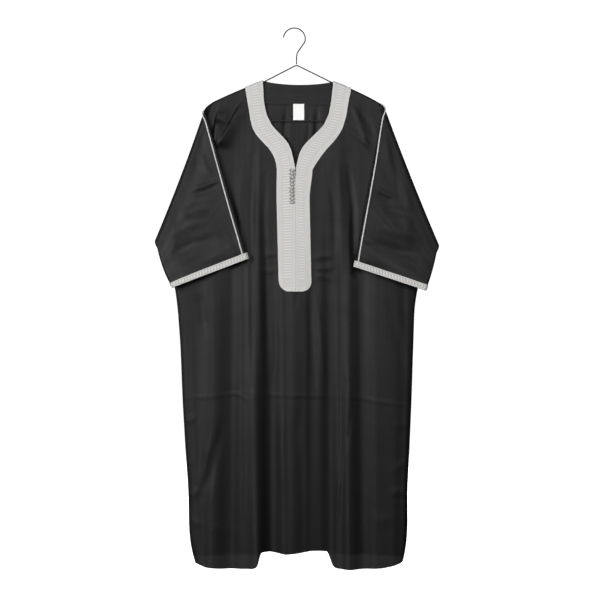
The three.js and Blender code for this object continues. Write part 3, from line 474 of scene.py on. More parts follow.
# Creases of the front: a route of (x, z) points, half its width, and how far it stands proud. Two
# widths are those to the left and to the right of the route, as one goes along it.
FRONT_CREASES = (
    ("shoulder_right_lap", ((-131, -182), (-168, -249), (-206, -318)), (26, 3.5), 6.0),
    ("shoulder_right_shelf", ((-168, -238), (-188, -237), (-214, -233)), (5, 22), 3.5),
    ("shoulder_right_stem", ((-206, -232), (-210, -262), (-216, -322)), (34, 3), 12.0),
    ("shoulder_left", ((152, -196), (176, -258), (196, -325)), 8, 3.0),
    ("collar_left", ((136, -262), (172, -292), (206, -318)), 8, 2.2),
    ("shoulder_left_hollow", ((166, -190), (196, -246), (214, -300)), 9, -2.6),
    ("pressed_right", ((-300, -981), (-246, -979), (-190, -973), (-140, -968), (-107, -965)), 3.2, 0.9),
    ("pressed_middle", ((-96, -968), (-40, -974), (26, -976), (70, -975), (124, -977)), 3.2, 0.8),
    ("pressed_left", ((122, -978), (176, -981), (219, -990), (262, -996), (312, -1002)), 3.2, 0.9),
    ("pressed_slant", ((-157, -970), (-136, -978), (-117, -986)), 3, 0.88),
    ("placket_tug_1", ((46, -612), (70, -606), (108, -604)), 7, 1.6),
    ("placket_tug_2", ((46, -634), (74, -640), (112, -632)), 8, 1.8),
    ("placket_tug_3", ((50, -656), (80, -660), (104, -668)), 7, 1.3),
    ("placket_tug_4", ((-44, -604), (-60, -600), (-84, -604)), 6, 1.2),
    ("placket_tug_5", ((-46, -640), (-66, -646), (-92, -640)), 6, 1.3),
    ("placket_drop", ((5, -702), (5, -722), (6, -742)), 5, -1.6),
    ("placket_end", ((36, -695), (44, -800), (58, -990)), 9, -1.8),
    ("placket_end_ridge", ((52, -700), (72, -810), (80, -960)), 7, 2.0),
    ("slant_left", ((238, -690), (262, -780), (293, -912)), 13, -2.0),
    ("slant_left_ridge", ((258, -700), (284, -790), (306, -900)), 11, 1.0),
    ("slant_right", ((-252, -698), (-243, -752), (-234, -812)), 12, -2.6),
    ("knee_right_1", ((-223, -1090), (-238, -1160), (-252, -1225)), 10, 2.4),
    ("knee_right_2", ((-194, -1053), (-212, -1140), (-234, -1241)), 12, -2.8),
    ("edge_right_1", ((-292, -1044), (-276, -1040), (-262, -1028)), 9.1, 1.1),
    ("edge_right_2", ((-284, -1243), (-268, -1238), (-254, -1222)), 9.1, 1.2),
    ("edge_right_3", ((-276, -1300), (-262, -1312), (-246, -1318)), 10.4, 0.9),
    ("edge_left_1", ((300, -1153), (284, -1158), (268, -1172)), 11.7, 1.3),
    ("edge_left_2", ((300, -1235), (278, -1228), (252, -1238)), 11.7, 1.4),
    ("edge_left_3", ((299, -1268), (280, -1262), (262, -1254)), 9.1, 0.8),
    ("edge_left_4", ((304, -1060), (286, -1052), (262, -1050)), 10.4, 0.8),
    ("thigh_left_1", ((140, -912), (146, -950), (150, -984)), 5, 1.5),
    ("thigh_left_2", ((129, -1113), (121, -1200), (112, -1302)), 5, 1.8),
    ("thigh_left_3", ((150, -1010), (146, -1060), (138, -1110)), 6, -1.4),
    ("hem_left", ((206, -1300), (230, -1306), (262, -1296)), 15.6, 0.8),
    ("hem_right", ((-222, -1320), (-196, -1330), (-160, -1330)), 15.6, 0.8),
    ("centre_1", ((-50, -760), (-46, -860), (-56, -962)), 8, -1.6),
    ("centre_2", ((12, -990), (6, -1100), (24, -1240)), 12, -2.0),
    ("centre_3", ((-30, -1000), (-34, -1120), (-26, -1260)), 11, 1.4),
    ("chest_right_1", ((-136, -350), (-144, -480), (-140, -620)), 11, 2.0),
    ("chest_right_2", ((-112, -340), (-116, -480), (-112, -700), (-110, -960)), 7, -3.2),
    ("chest_right_3", ((-92, -330), (-97, -480), (-92, -700), (-88, -920)), 7, 3.0),
    ("chest_right_4", ((-74, -380), (-80, -500), (-74, -700), (-70, -960)), 7, -2.8),
    ("chest_left_1", ((86, -360), (104, -480), (108, -640)), 8, -2.2),
    ("chest_left_2", ((110, -330), (127, -470), (130, -640)), 9, 2.2),
    ("chest_left_3", ((140, -330), (156, -480), (158, -660)), 9, -4.6),
)


def eased_levels(levels, values, z):
    """A value between levels, with no corner at a level. Levels run down."""
    depth = -np.asarray(levels, float)
    values = np.asarray(values, float)
    below = np.clip(np.searchsorted(depth, -z, side="right"), 1, len(depth) - 1)
    part = smooth((-z - depth[below - 1]) / (depth[below] - depth[below - 1]))
    return mix(values[below - 1], values[below], part)


def armhole(side_name):
    """An armhole's top, and its directions: down along it, and square to it, towards the middle."""
    side = SIDES[side_name]
    top = np.array([side["armhole_x"], 0, float(ridge_z(side["armhole_x"]))])
    underarm = np.array([side["underarm"][0], 0, side["underarm"][1]])
    down = (underarm - top) / np.linalg.norm(underarm - top)
    inward = np.array([side["sign"] * down[2], 0, -side["sign"] * down[0]])
    return top, down, inward, np.linalg.norm(underarm - top)


def edge_x(side_name, z):
    """The body's outline: the armhole down to the underarm, then the side seam."""
    side = SIDES[side_name]
    top = float(ridge_z(side["armhole_x"]))
    underarm_x, underarm_z = side["underarm"]
    down = (z - top) / (underarm_z - top)
    bow = side["bow"] * 4 * down * (1 - down)
    hole = mix(side["armhole_x"], underarm_x, down) - side["sign"] * bow
    seam = SIDE_SEAM[side_name]
    shifts = (-SEAM_SOFTENING, 0, SEAM_SOFTENING)
    before, exact, after = (np.interp(-z + shift, -np.array(seam["z"]), seam["x"]) for shift in shifts)
    eased = mix(exact, (before + exact + after) / 3, smooth((underarm_z - z) / SEAM_EASE))
    return np.where(z >= underarm_z, hole, eased)


def folded_depth(folds, x, z):
    """How far the cloth's outside lies from the wire's plane, from the folds that run down it."""
    side_depth = eased_levels(FOLD_DEPTH_LEVELS, SIDE_DEPTHS, z)
    places = [edge_x("right", z)]
    depths = [side_depth]
    for _, fold_x, fold_depth in folds:
        places.append(np.interp(-z, -np.array(FOLD_X_LEVELS), fold_x))
        depths.append(eased_levels(FOLD_DEPTH_LEVELS, (RIDGE_RADIUS, *fold_depth), z))
    places.append(edge_x("left", z))
    depths.append(side_depth)
    places, depths = np.stack(places), np.stack(depths)
    low = np.clip((places <= x).sum(axis=0) - 1, 0, len(places) - 2)[None]
    x0, x1 = np.take_along_axis(places, low, 0)[0], np.take_along_axis(places, low + 1, 0)[0]
    d0, d1 = np.take_along_axis(depths, low, 0)[0], np.take_along_axis(depths, low + 1, 0)[0]
    return mix(d0, d1, smooth((x - x0) / (x1 - x0)))


def creased(rows, x, z):
    """Height of the creases at places (x, z). Each fades out towards its ends, and one with two
    widths is gentle on one side and steep on the other."""
    height = np.zeros_like(x)
    for _, route, width, proud in rows:
        route = np.array(route, float)
        run = run_along(route)
        nearest = np.full(x.shape, np.inf)
        along = np.zeros_like(x)
        left, right = width if isinstance(width, tuple) else (width, width)
        reach = np.full(x.shape, float(left))
        for (x1, z1), (x2, z2), start in zip(route, route[1:], run):
            length = math.hypot(x2 - x1, z2 - z1)
            at = np.clip(((x - x1) * (x2 - x1) + (z - z1) * (z2 - z1)) / length**2, 0, 1)
            away = np.hypot(x - mix(x1, x2, at), z - mix(z1, z2, at))
            closer = away < nearest
            nearest = np.where(closer, away, nearest)
            along = np.where(closer, (start + at * length) / run[-1], along)
            on_left = (x2 - x1) * (z - z1) > (z2 - z1) * (x - x1)
            reach = np.where(closer, np.where(on_left, left, right), reach)
        ends = smooth(along * CREASE_FADE) * smooth((1 - along) * CREASE_FADE)
        height += proud * mix(CREASE_END, 1, ends) * np.exp(-((nearest / reach) ** 2))
    return height


def side_radius(side_name, z):
    """Radius of the turn at the side: tight above the underarm, wider below it."""
    below = SIDES[side_name]["underarm"][1] - z
    return mix(RIDGE_RADIUS, SIDE_TURN_RADIUS, smooth(below / SIDE_TURN_EASE))


def side_turn(x, z):
    """From 0 at the side seam to 1 where the cloth lies flat."""
    least = np.ones_like(x)
    for name, side in SIDES.items():
        above = np.maximum(0, z - side["underarm"][1])
        reach = np.where(above > 0, side["underarm"][0], edge_x(name, z))
        near = np.clip(np.hypot(x - reach, above) / side_radius(name, z), 0, 1)
        least = np.minimum(least, np.sqrt(1 - (1 - near) ** 2))
    return least


def over_ridge(x, arc):
    """The angle that the cloth turns over the ridge, how far it hangs below, and its height there.
    arc is measured along the cloth from the ridge's top, positive to the front."""
    angle = np.clip(arc, -RIDGE_TURN, RIDGE_TURN) / RIDGE_RADIUS
    down = np.maximum(0, np.abs(arc) - RIDGE_TURN)
    return angle, down, ridge_z(x) - RIDGE_RADIUS * (1 - np.cos(angle)) - down


def skin(x, arc, folds, creases):
    """Points of the body's outside, at places x and arc."""
    x, arc = np.broadcast_arrays(np.asarray(x, float), np.asarray(arc, float))
    angle, down, z = over_ridge(x, arc)
    turn = side_turn(x, z)
    vent = VENT_HALF_GAP * smooth((VENT_TOP_Z - z) / VENT_LENGTH_TO_OPEN)
    least = SEAM_HALF_GAP + vent
    full = np.maximum(folded_depth(folds, x, z) + creased(creases, x, z), least + 1)
    settle = smooth(down / SETTLE_LENGTH)
    hung = mix(RIDGE_RADIUS * turn, least + (full - least) * turn, settle)
    depth = np.where(down > 0, hung, RIDGE_RADIUS * np.abs(np.sin(angle)))
    return np.stack([x, -np.sign(arc) * depth, z], axis=-1)


def front_skin(x, arc):
    """Points of the front's outside."""
    return skin(x, arc, FRONT_FOLDS, FRONT_CREASES)


def arc_at(x, z):
    """How far along the cloth from the ridge's top the height z lies."""
    return ridge_z(x) - RIDGE_RADIUS - z + RIDGE_TURN


def seam_arc(x):
    """How far behind the ridge's top the shoulder seam lies, along the cloth."""
    return np.interp(x, SEAM_BEHIND["x"], SEAM_BEHIND["arc"])


def front_hem_z(x):
    """The front's lower edge. Its side parts hang lower than its middle, with rounded corners."""
    shifts = np.linspace(-HEM_SOFTENING, HEM_SOFTENING, 5)
    return sum(np.interp(x + shift, FRONT_HEM["x"], FRONT_HEM["z"]) for shift in shifts) / len(shifts)


EDGE_COLUMNS = np.array([0, 0.06, 0.16, 0.3, 0.48, 0.72])  # parts of the side turn's radius
PANEL_PASSES = 8  # the outline's x depends on the height, so the places are found in passes


def panel_places(arcs, rows, middle_columns):
    """x and arc of a panel's rows and columns. arcs gives every row's arc for the places x."""
    part = np.linspace(0, 1, middle_columns)
    from_right = np.concatenate([np.ones(len(EDGE_COLUMNS)), 1 - part, np.zeros(len(EDGE_COLUMNS))])
    turned = np.concatenate([EDGE_COLUMNS, np.ones(middle_columns), EDGE_COLUMNS[::-1]])
    z = np.full((rows, len(turned)), float(FOLD_X_LEVELS[0]))
    for _ in range(PANEL_PASSES):
        right = edge_x("right", z) + turned * side_radius("right", z)
        left = edge_x("left", z) - turned * side_radius("left", z)
        x = from_right * right + (1 - from_right) * left
        arc = arcs(x)
        _, _, z = over_ridge(x, arc)
    return x, arc


def normals(grid, around=False, outward=1):
    """Directions square to a grid of points, towards the front or, with -1, the other way."""
    if around:
        across = np.roll(grid, -1, axis=1) - np.roll(grid, 1, axis=1)
    else:
        across = np.gradient(grid, axis=1)
    return unit(np.cross(np.gradient(grid, axis=0), across)) * outward


def wall(outer, inner, around=False):
    """Points and faces of a closed wall between two grids."""
    rows, columns = outer.shape[:2]
    count = rows * columns
    faces = grid_faces(rows, columns, around=around)
    faces += [tuple(reversed(face)) for face in grid_faces(rows, columns, first=count, around=around)]
    order = list(range(columns)) + ([0] if around else [])
    for j, k in zip(order, order[1:]):
        last = (rows - 1) * columns
        faces.append((j, k, count + k, count + j))
        faces.append((last + k, last + j, count + last + j, count + last + k))
    if not around:
        for i in range(rows - 1):
            top, below = i * columns, (i + 1) * columns
            faces.append((below, top, count + top, count + below))
            end = columns - 1
            faces.append((top + end, below + end, count + below + end, count + top + end))
    return np.concatenate([outer.reshape(-1, 3), inner.reshape(-1, 3)]), faces


# The satin: a deep black with a soft broad shine, a faint stripe of duller yarn down its length,
# a still fainter one across, and the fine ribs of the weave. Where one layer hangs alone below the
# other panel's hem, the light that comes through it is painted, as a lighter base colour.
satin = Finish(
    "black_satin", Roughness=0.52, Specular_IOR_Level=0.2, Sheen_Weight=0.02, Sheen_Roughness=0.4,
    Sheen_Tint=(0.9, 0.92, 1, 1),
)
stripe = satin.noise((95, 1.3, 0), "cloth", detail=3, roughness=0.6)
broad_stripe = satin.noise((18, 0.9, 0), "cloth", detail=2)
cross_stripe = satin.noise((1.6, 34, 0), "cloth", detail=2)
shade = satin.node(
    "ShaderNodeMapRange",
    inputs={0: stripe * 0.34 + broad_stripe * 0.46 + cross_stripe * 0.2, 1: 0.38, 2: 0.62},
)
# Painted light: this is 1 where the front hangs as a single layer, and lightens the base colour there in
# place of light coming through the cloth.
alone = satin.third()
satin_black = satin.colours(shade, (0.0017, 0.0017, 0.0021), (0.0052, 0.0052, 0.0058))
weave_up = satin.node(
    "ShaderNodeTexWave", {"wave_type": "BANDS", "bands_direction": "X"},
    {"Vector": satin.place((1, 1, 1), "cloth"), "Scale": 420, "Distortion": 0.4, "Detail": 1},
)
satin.surface(
    Base_Color=satin.colours(alone, satin_black, (0.012, 0.012, 0.0126)),
    Roughness=0.56 - 0.08 * shade,
    Normal=satin.bump(weave_up * 0.5 + stripe * 0.5, 0.12, 0.0002),
)

FRONT_ROWS_OVER = 8
# Below the back's hem, the painted light of the single layer comes in over the height below.
FRONT_ROWS_DOWN = 236
FRONT_COLUMNS = 190
SHOW_THROUGH_EASE = 5  # the light comes through over this height
BACK_HEM_SIDE_Z = -1398
BACK_HEM_RISE = 8  # the back's hem is this much higher in the middle


def back_hem_z(x):
    """The back's lower edge, a shallow arch."""
    middle = (SHOULDER["right"]["neck_x"] + SHOULDER["left"]["neck_x"]) / 2
    half = (SHOULDER["left"]["neck_x"] - SHOULDER["right"]["neck_x"]) / 2
    return BACK_HEM_SIDE_Z + BACK_HEM_RISE * (1 - np.minimum(1, ((x - middle) / (half * 3)) ** 2))


def rows_down(start, middle, end, over_rows, down_rows):
    """Arcs of all rows: a few from start to middle, then the rest to end."""
    over = np.linspace(0, 1, over_rows)[:, None]
    down = np.linspace(0, 1, down_rows + 1)[1:, None]
    return np.concatenate([
        mix(start[:over_rows], middle[:over_rows], over), mix(middle[over_rows:], end[over_rows:], down),
    ])


def front_arcs(x):
    """The front's rows, from the shoulder seam over the ridge and down to the hem."""
    start = -seam_arc(x) + SHOULDER_SEAM / 2
    return rows_down(
        start, np.full_like(x, RIDGE_TURN), arc_at(x, front_hem_z(x)), FRONT_ROWS_OVER, FRONT_ROWS_DOWN,
    )


front_x, front_arc = panel_places(front_arcs, FRONT_ROWS_OVER + FRONT_ROWS_DOWN, FRONT_COLUMNS)
front_outside = front_skin(front_x, front_arc)
front_inside = front_outside - SATIN_THICKNESS * normals(front_outside)
# Painted light: marks where the front hangs below the back's hem, for the lighter base colour that stands
# for light coming through.
front_painted_show_through = smooth((back_hem_z(front_x) - front_outside[..., 2]) / SHOW_THROUGH_EASE)
front_cloth = np.stack([front_x, -front_arc, front_painted_show_through], axis=-1).reshape(-1, 3)
front_points, front_faces = wall(front_outside, front_inside)
front = mesh_piece(
    "front", front_points, front_faces, satin, np.concatenate([front_cloth, front_cloth]),
)

# The neck opening and the slit are cut out of the front along the braid's inner edge. Each row has
# x and z of the braid's inner edge, then of its outer edge, from the shoulder down to the slit.
NECK_BAND = {
    "right": (
        (-83.5, -146, -129.5, -164), (-80.3, -198, -123.5, -200), (-73.5, -230, -117.5, -238),
        (-60, -257, -110.5, -268), (-44, -275, -99, -286), (-30, -289, -83, -303),
        (-17, -304, -65, -322), (-8, -324, -54, -341), (-2.5, -348, -48.5, -358),
        (2.4, -371.5, -46.4, -374),
    ),
    "left": (
        (103, -148, 150, -166), (97.5, -198, 143, -200), (91, -230, 137.5, -236),
        (78, -258, 128, -266), (60, -276, 118, -284), (43, -293, 103, -303),
        (26, -310, 85, -322), (14, -330, 70, -342), (9, -350, 57, -360),
        (4.6, -371.5, 48, -377),
    ),
}
NECK_CUT_BACK = 0.9
SLIT_X = 3.5
SLIT_HALF_WIDTH = 0.6
SLIT_END_Z = -478
CUTTER_ABOVE = 30
CUTTER_HALF_DEPTH = 60


def neck_cutter():
    """A block with the neck opening's outline, seen from the front."""
    right = [(x - NECK_CUT_BACK, z) for x, z, _, _ in NECK_BAND["right"]]
    left = [(x + NECK_CUT_BACK, z) for x, z, _, _ in NECK_BAND["left"]][::-1]
    top = SHOULDER["right"]["neck_z"] + CUTTER_ABOVE
    outline = [(right[0][0], top), *right, (SLIT_X - SLIT_HALF_WIDTH, SLIT_END_Z)]
    outline += [(SLIT_X + SLIT_HALF_WIDTH, SLIT_END_Z), *left, (left[-1][0], top)]
    count = len(outline)
    points = [(x, y, z) for y in (-CUTTER_HALF_DEPTH, CUTTER_HALF_DEPTH) for x, z in outline]
    faces = [tuple(range(count)), tuple(range(2 * count - 1, count - 1, -1))]
    faces += [(k, count + k, count + (k + 1) % count, (k + 1) % count) for k in range(count)]
    mesh = bpy.data.meshes.new("neck_cutter")
    mesh.from_pydata([tuple(v * MILLIMETRE for v in point) for point in points], [], faces)
    block = bpy.data.objects.new("neck_cutter", mesh)
    scene.collection.objects.link(block)
    return block


def cut(piece, block):
    """Takes the block out of the piece, and the block out of the scene."""
    knife = piece.modifiers.new("opening", "BOOLEAN")
    knife.operation = "DIFFERENCE"
    knife.solver = "MANIFOLD"
    knife.object = block
    bpy.context.view_layer.objects.active = piece
    bpy.ops.object.modifier_apply(modifier=knife.name)
    bpy.data.objects.remove(block)
    piece.data.polygons.foreach_set("use_smooth", [True] * len(piece.data.polygons))
    piece.data.set_sharp_from_angle(angle=SHARP_ANGLE)


cut(front, neck_cutter())
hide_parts("body_front")


# ---- Back --------------------------------------------------------------------------------------
# The back is cut like the front, in the same satin, with a shallow neckline. It hangs in broad
# folds behind the wire, and keeps its own pressed crease.
NECK_DROP = 9
BACK_IN_WEAVE = 700  # the back lies this far aside in the weave's pattern
BACK_FOLDS = (
    ("hip_right", (-192, -276, -276, -240), (7, 12, 16, 19)),
    ("ridge_right", (-150, -205, -190, -168), (9.5, 19, 25, 29)),
    ("valley_right", (-98, -120, -114, -106), (8, 9, 9.5, 9)),
    ("ridge_inner_right", (-45, -48, -50, -50), (12, 20, 27, 31)),
    ("valley_centre", (6, 6, 4, 0), (8.5, 9.5, 10, 10)),
    ("ridge_inner_left", (58, 64, 62, 54), (12, 21, 28, 31)),
    ("valley_left", (110, 126, 120, 110), (8, 9, 9.5, 9)),
    ("ridge_left", (160, 215, 200, 176), (9.5, 19, 25, 29)),
    ("hip_left", (196, 284, 288, 262), (7, 12, 16, 19)),
)
BACK_CREASES = (
    ("pressed_right", ((-296, -984), (-230, -978), (-160, -972), (-96, -974)), 5, 2.0),
    ("pressed_middle", ((-80, -972), (-20, -976), (40, -972), (104, -978)), 5, 1.8),
    ("pressed_left", ((118, -974), (180, -980), (246, -986), (308, -996)), 5, 2.0),
    ("yoke_right", ((-60, -205), (-120, -250), (-196, -300)), 11, 2.4),
    ("yoke_left", ((80, -205), (140, -248), (206, -296)), 11, 2.4),
    ("yoke_right_low", ((-80, -236), (-140, -290), (-214, -352)), 10, -2.0),
    ("yoke_left_low", ((96, -232), (156, -286), (226, -346)), 10, -2.0),
    ("blade_right", ((-150, -330), (-158, -450), (-150, -600)), 12, -2.2),
    ("blade_left", ((170, -330), (178, -450), (172, -610)), 12, -2.2),
    ("spine", ((30, -300), (34, -440), (28, -620)), 12, 1.6),
    ("nape_right", ((-22, -208), (-25, -262), (-30, -350)), 7, 3.6),
    ("nape_left", ((60, -208), (59, -262), (54, -350)), 7, 4.2),
    ("nape_middle", ((36, -214), (38, -262), (32, -330)), 6, 2.0),
    ("waist_right", ((-290, -700), (-262, -716), (-226, -722)), 9, 2.0),
    ("waist_left", ((302, -740), (276, -752), (240, -750)), 9, 2.0),
    ("thigh_right", ((-90, -1010), (-84, -1130), (-92, -1260)), 9, 2.2),
    ("thigh_left", ((88, -1030), (94, -1150), (86, -1280)), 9, 2.2),
    ("edge_right", ((-284, -1200), (-262, -1210), (-236, -1206)), 8, 2.2),
    ("edge_left", ((298, -1180), (272, -1190), (248, -1184)), 8, 2.2),
    ("hem_right", ((-180, -1290), (-176, -1340), (-184, -1392)), 9, -1.8),
    ("hem_left", ((190, -1280), (194, -1336), (186, -1390)), 9, -1.8),
)
BACK_ROWS_OVER = 6
BACK_ROWS_DOWN = 210
BACK_COLUMNS = 150


def back_skin(x, arc):
    """Points of the back's outside. arc is negative there."""
    return skin(x, arc, BACK_FOLDS, BACK_CREASES)


def back_top_arc(x):
    """Where the back starts: at the shoulder seam, and at the dipped neckline between the seams."""
    right, left = SHOULDER["right"]["neck_x"], SHOULDER["left"]["neck_x"]
    part = np.clip((x - right) / (left - right), 0, 1)
    return seam_arc(x) + NECK_DROP * np.sin(np.pi * part) ** 0.8


def back_arcs(x):
    """The back's rows, from the shoulder seam down to the hem."""
    start = back_top_arc(x) + SHOULDER_SEAM / 2
    middle = np.maximum(start + 4, RIDGE_TURN)
    return rows_down(start, middle, arc_at(x, back_hem_z(x)), BACK_ROWS_OVER, BACK_ROWS_DOWN)


back_x, back_arc = panel_places(back_arcs, BACK_ROWS_OVER + BACK_ROWS_DOWN, BACK_COLUMNS)
back_outside = back_skin(back_x, -back_arc)
back_inside = back_outside - SATIN_THICKNESS * normals(back_outside, outward=-1)
back_cloth = np.stack([back_x + BACK_IN_WEAVE, -back_arc, 0 * back_x], axis=-1).reshape(-1, 3)
back_points, back_faces = wall(back_outside, back_inside)
back = mesh_piece(
    "back", back_points, back_faces, satin, np.concatenate([back_cloth, back_cloth]),
)
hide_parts("body_back")


# ---- Sleeves -----------------------------------------------------------------------------------
# Each sleeve is a short wide tube of the same satin, sewn to the armhole. It is folded forward over
# the end of the shoulder and hangs flat in front of the body, down to a braided cuff.
SIDES["right"].update(cuff_inner=(-121.4, -612.7), cuff_outer=(-321, -689), bulge=8)
SIDES["left"].update(cuff_inner=(157.4, -633.9), cuff_outer=(347, -696.5), bulge=4)
SLEEVE_SEAM = 0.3
FOLD_RADIUS = 3
SHEAR_TOP = 45
SHEAR_UNDERARM = 25
SLEEVE_LEAN = 12
SLEEVE_FULLNESS = 9
SLEEVE_WAVE = 1.6
SLEEVE_END_RADIUS = 7
FOLD_Y = -RIDGE_RADIUS - FOLD_RADIUS
SLEEVE_IN_WEAVE = 1200  # where the sleeves lie in the weave's pattern
FLAP_IN_WEAVE = 330
ARMHOLE_IN_WEAVE = 400
SLEEVE_CREASES = {
    "right": (
        ("elbow", ((-276, -430), (-240, -421), (-196, -404)), 5, 2.0),
        ("elbow_hollow", ((-272, -446), (-236, -436), (-200, -420)), 8, -1.8),
        ("upper", ((-252, -330), (-234, -372), (-212, -400)), 9, 1.8),
        ("band_1", ((-342, -560), (-280, -520), (-206, -505)), 17, 2.6),
        ("band_2", ((-334, -610), (-270, -575), (-190, -556)), 15, -2.8),
        ("band_3", ((-318, -650), (-250, -618), (-176, -598)), 14, 2.0),
        ("band_4", ((-300, -500), (-262, -480), (-214, -470)), 14, -2.2),
        ("cuff_tuck_1", ((-176, -574), (-160, -590), (-150, -606)), 6, 1.8),
        ("cuff_tuck_2", ((-170, -540), (-158, -566), (-146, -590)), 5, -1.6),
        ("outer_1", ((-330, -500), (-318, -560), (-326, -620)), 12, 1.8),
        ("top_fold", ((-238, -262), (-250, -330), (-268, -400)), 10, -1.8),
    ),
    "left": (
        ("elbow", ((216, -424), (232, -436), (262, -448)), 6, 1.9),
        ("elbow_hollow", ((214, -440), (238, -454), (262, -462)), 7, -1.6),
        ("piping_tug", ((176, -556), (188, -566), (204, -572)), 5, 1.8),
        ("band_1", ((206, -520), (268, -540), (346, -560)), 16, 2.4),
        ("band_2", ((190, -566), (262, -590), (346, -606)), 15, -2.6),
        ("band_3", ((186, -604), (250, -630), (330, -654)), 13, 1.8),
        ("band_4", ((226, -480), (276, -488), (320, -500)), 13, -2.0),
        ("tall_1", ((288, -380), (300, -470), (296, -580)), 13, 1.8),
        ("tall_2", ((256, -300), (272, -380), (280, -460)), 10, -1.6),
        ("cuff_tuck_1", ((180, -600), (190, -616), (196, -628)), 6, 1.5),
        ("upper", ((236, -270), (246, -320), (252, -372)), 9, 1.6),
    ),
}
SLEEVE_ROWS_FOLD = 26
SLEEVE_ROWS_DOWN = 92
SLEEVE_SPANS = 62
END_TURN_DEGREES = np.linspace(0, 90, 7)


def sleeve_skin(side_name, travel, along, layer):
    """Points of a sleeve's outside. travel runs from -1 to 0 round the fold and from 0 to 1 down
    the flap, along from the sleeve's top line to the underarm. layer is 1 on the layer that faces
    the viewer and -1 on the one that lies next to the body."""
    side = SIDES[side_name]
    top, down, inward, _ = armhole(side_name)
    travel, along, layer = np.broadcast_arrays(*(np.asarray(v, float) for v in (travel, along, layer)))
    turned, flap = np.clip(travel + 1, 0, 1), np.clip(travel, 0, 1)
    fullness = mix(RIDGE_RADIUS, SLEEVE_FULLNESS, smooth(flap))
    reach = FOLD_RADIUS + fullness + SLEEVE_LEAN * flap + fullness * layer
    z = mix(top[2], side["underarm"][1], along)
    start = np.stack([edge_x(side_name, np.maximum(z, side["underarm"][1])), 0 * z, z], axis=-1)
    shear = mix(SHEAR_TOP, SHEAR_UNDERARM, along) * turned
    start = start - SLEEVE_SEAM * inward + shear[..., None] * down
    inner, outer = side["cuff_inner"], side["cuff_outer"]
    cuff = np.stack([mix(inner[0], outer[0], along), 0 * z, mix(inner[1], outer[1], along)], axis=-1)
    point = mix(start, cuff, flap[..., None])
    bulge = side["bulge"] * 4 * flap * (1 - flap) * along**2
    point = point + bulge[..., None] * down - (reach * np.sin(np.pi * turned))[..., None] * inward
    wave = SLEEVE_WAVE * np.sin(2 * np.pi * (1.4 * along + 1.1 * flap + 0.15)) * np.sin(np.pi * along)
    relief = creased(SLEEVE_CREASES[side_name], point[..., 0], point[..., 2])
    outside = np.clip(layer, 0, 1) ** 2 * smooth(turned * 2 - 1) * smooth((1 - flap) * 9 + 0.25)
    point[..., 1] = FOLD_Y + reach * np.cos(np.pi * turned) - wave * smooth(flap * 2) - relief * outside
    return point


def cuff_length(side_name):
    """Length of the cuff's edge, laid flat."""
    (x1, z1), (x2, z2) = SIDES[side_name]["cuff_inner"], SIDES[side_name]["cuff_outer"]
    return math.hypot(x2 - x1, z2 - z1)


def sleeve_round(side_name, travel, spans):
    """along and layer of the places round a sleeve, for each travel."""
    _, _, _, length = armhole(side_name)
    end = (SLEEVE_END_RADIUS / mix(length, cuff_length(side_name), np.clip(travel, 0, 1)))[:, None]
    turn = np.radians(END_TURN_DEGREES)
    part = np.linspace(0, 1, spans + 1)[1:-1]
    base = np.concatenate([0 * turn, part, np.ones_like(turn)])
    share = np.concatenate([1 - np.cos(turn), 1 - 2 * part, (np.cos(turn) - 1)[::-1]])
    height = np.concatenate([np.sin(turn), np.ones_like(part), np.sin(turn)[::-1]])
    near = base + share * end
    along = np.concatenate([near, near[:, -2:0:-1]], axis=1)
    layer = np.concatenate([height, -height[-2:0:-1]])
    return along, np.broadcast_to(layer, along.shape)


for side_name, side in SIDES.items():
    travels = np.concatenate([
        np.linspace(-1, 0, SLEEVE_ROWS_FOLD), np.linspace(0, 1, SLEEVE_ROWS_DOWN + 1)[1:],
    ])
    along, layer = sleeve_round(side_name, travels, SLEEVE_SPANS)
    outside = sleeve_skin(side_name, travels[:, None], along, layer)
    inside = outside - SATIN_THICKNESS * normals(outside, around=True, outward=side["sign"])
    lengthwise = travels[:, None] * FLAP_IN_WEAVE + SLEEVE_IN_WEAVE + 0 * along
    cloth = np.stack([lengthwise, along * ARMHOLE_IN_WEAVE, 0 * along], axis=-1).reshape(-1, 3)
    points, faces = wall(outside, inside, around=True)
    mesh_piece(
        f"satin_sleeve_{side_name}", points, faces, satin, np.concatenate([cloth, cloth]),
    )
    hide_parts(f"sleeve_{side_name}")


# ---- Neck facing and label -----------------------------------------------------------------------
# A band of satin faces the back neck inside, turned under at its lower edge. A white woven label,
# bare, is caught in that edge and hangs over the back panel.
FRAME_CLOTH = 1.2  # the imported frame's cloth is this thick
LAY = 0.7  # space kept between two layers
FACING_THICKNESS = 0.7
FACING_LIFT = 0.1
TURNED_EDGE_HEIGHT = 0.35
TURNED_EDGE_DEPTH = 7
TURNED_EDGE_EASE = 1.5
FACING_TOP_GAP = 1
FACING_TOP_TURN = 0.8  # part of the turn over the ridge that it leaves free at least
FACING_DEPTH = 57
FACING_END_CLEARANCE = 5
LABEL_THICKNESS = 0.5
LABEL_MIDDLE_X = 11.5
LABEL_WIDTH = 29
LABEL_TOP_Z = -200
LABEL_BOTTOM_Z = -243
LABEL_CLEARANCE = 1.35
LABEL_SWING = 0.5
LABEL_SWING_START = 6
LABEL_SWING_LENGTH = 30
LABEL_RIB_HEIGHT = 0.18
LABEL_RIB_WIDTH = 1.8
LABEL_RIB_EASE = 0.6

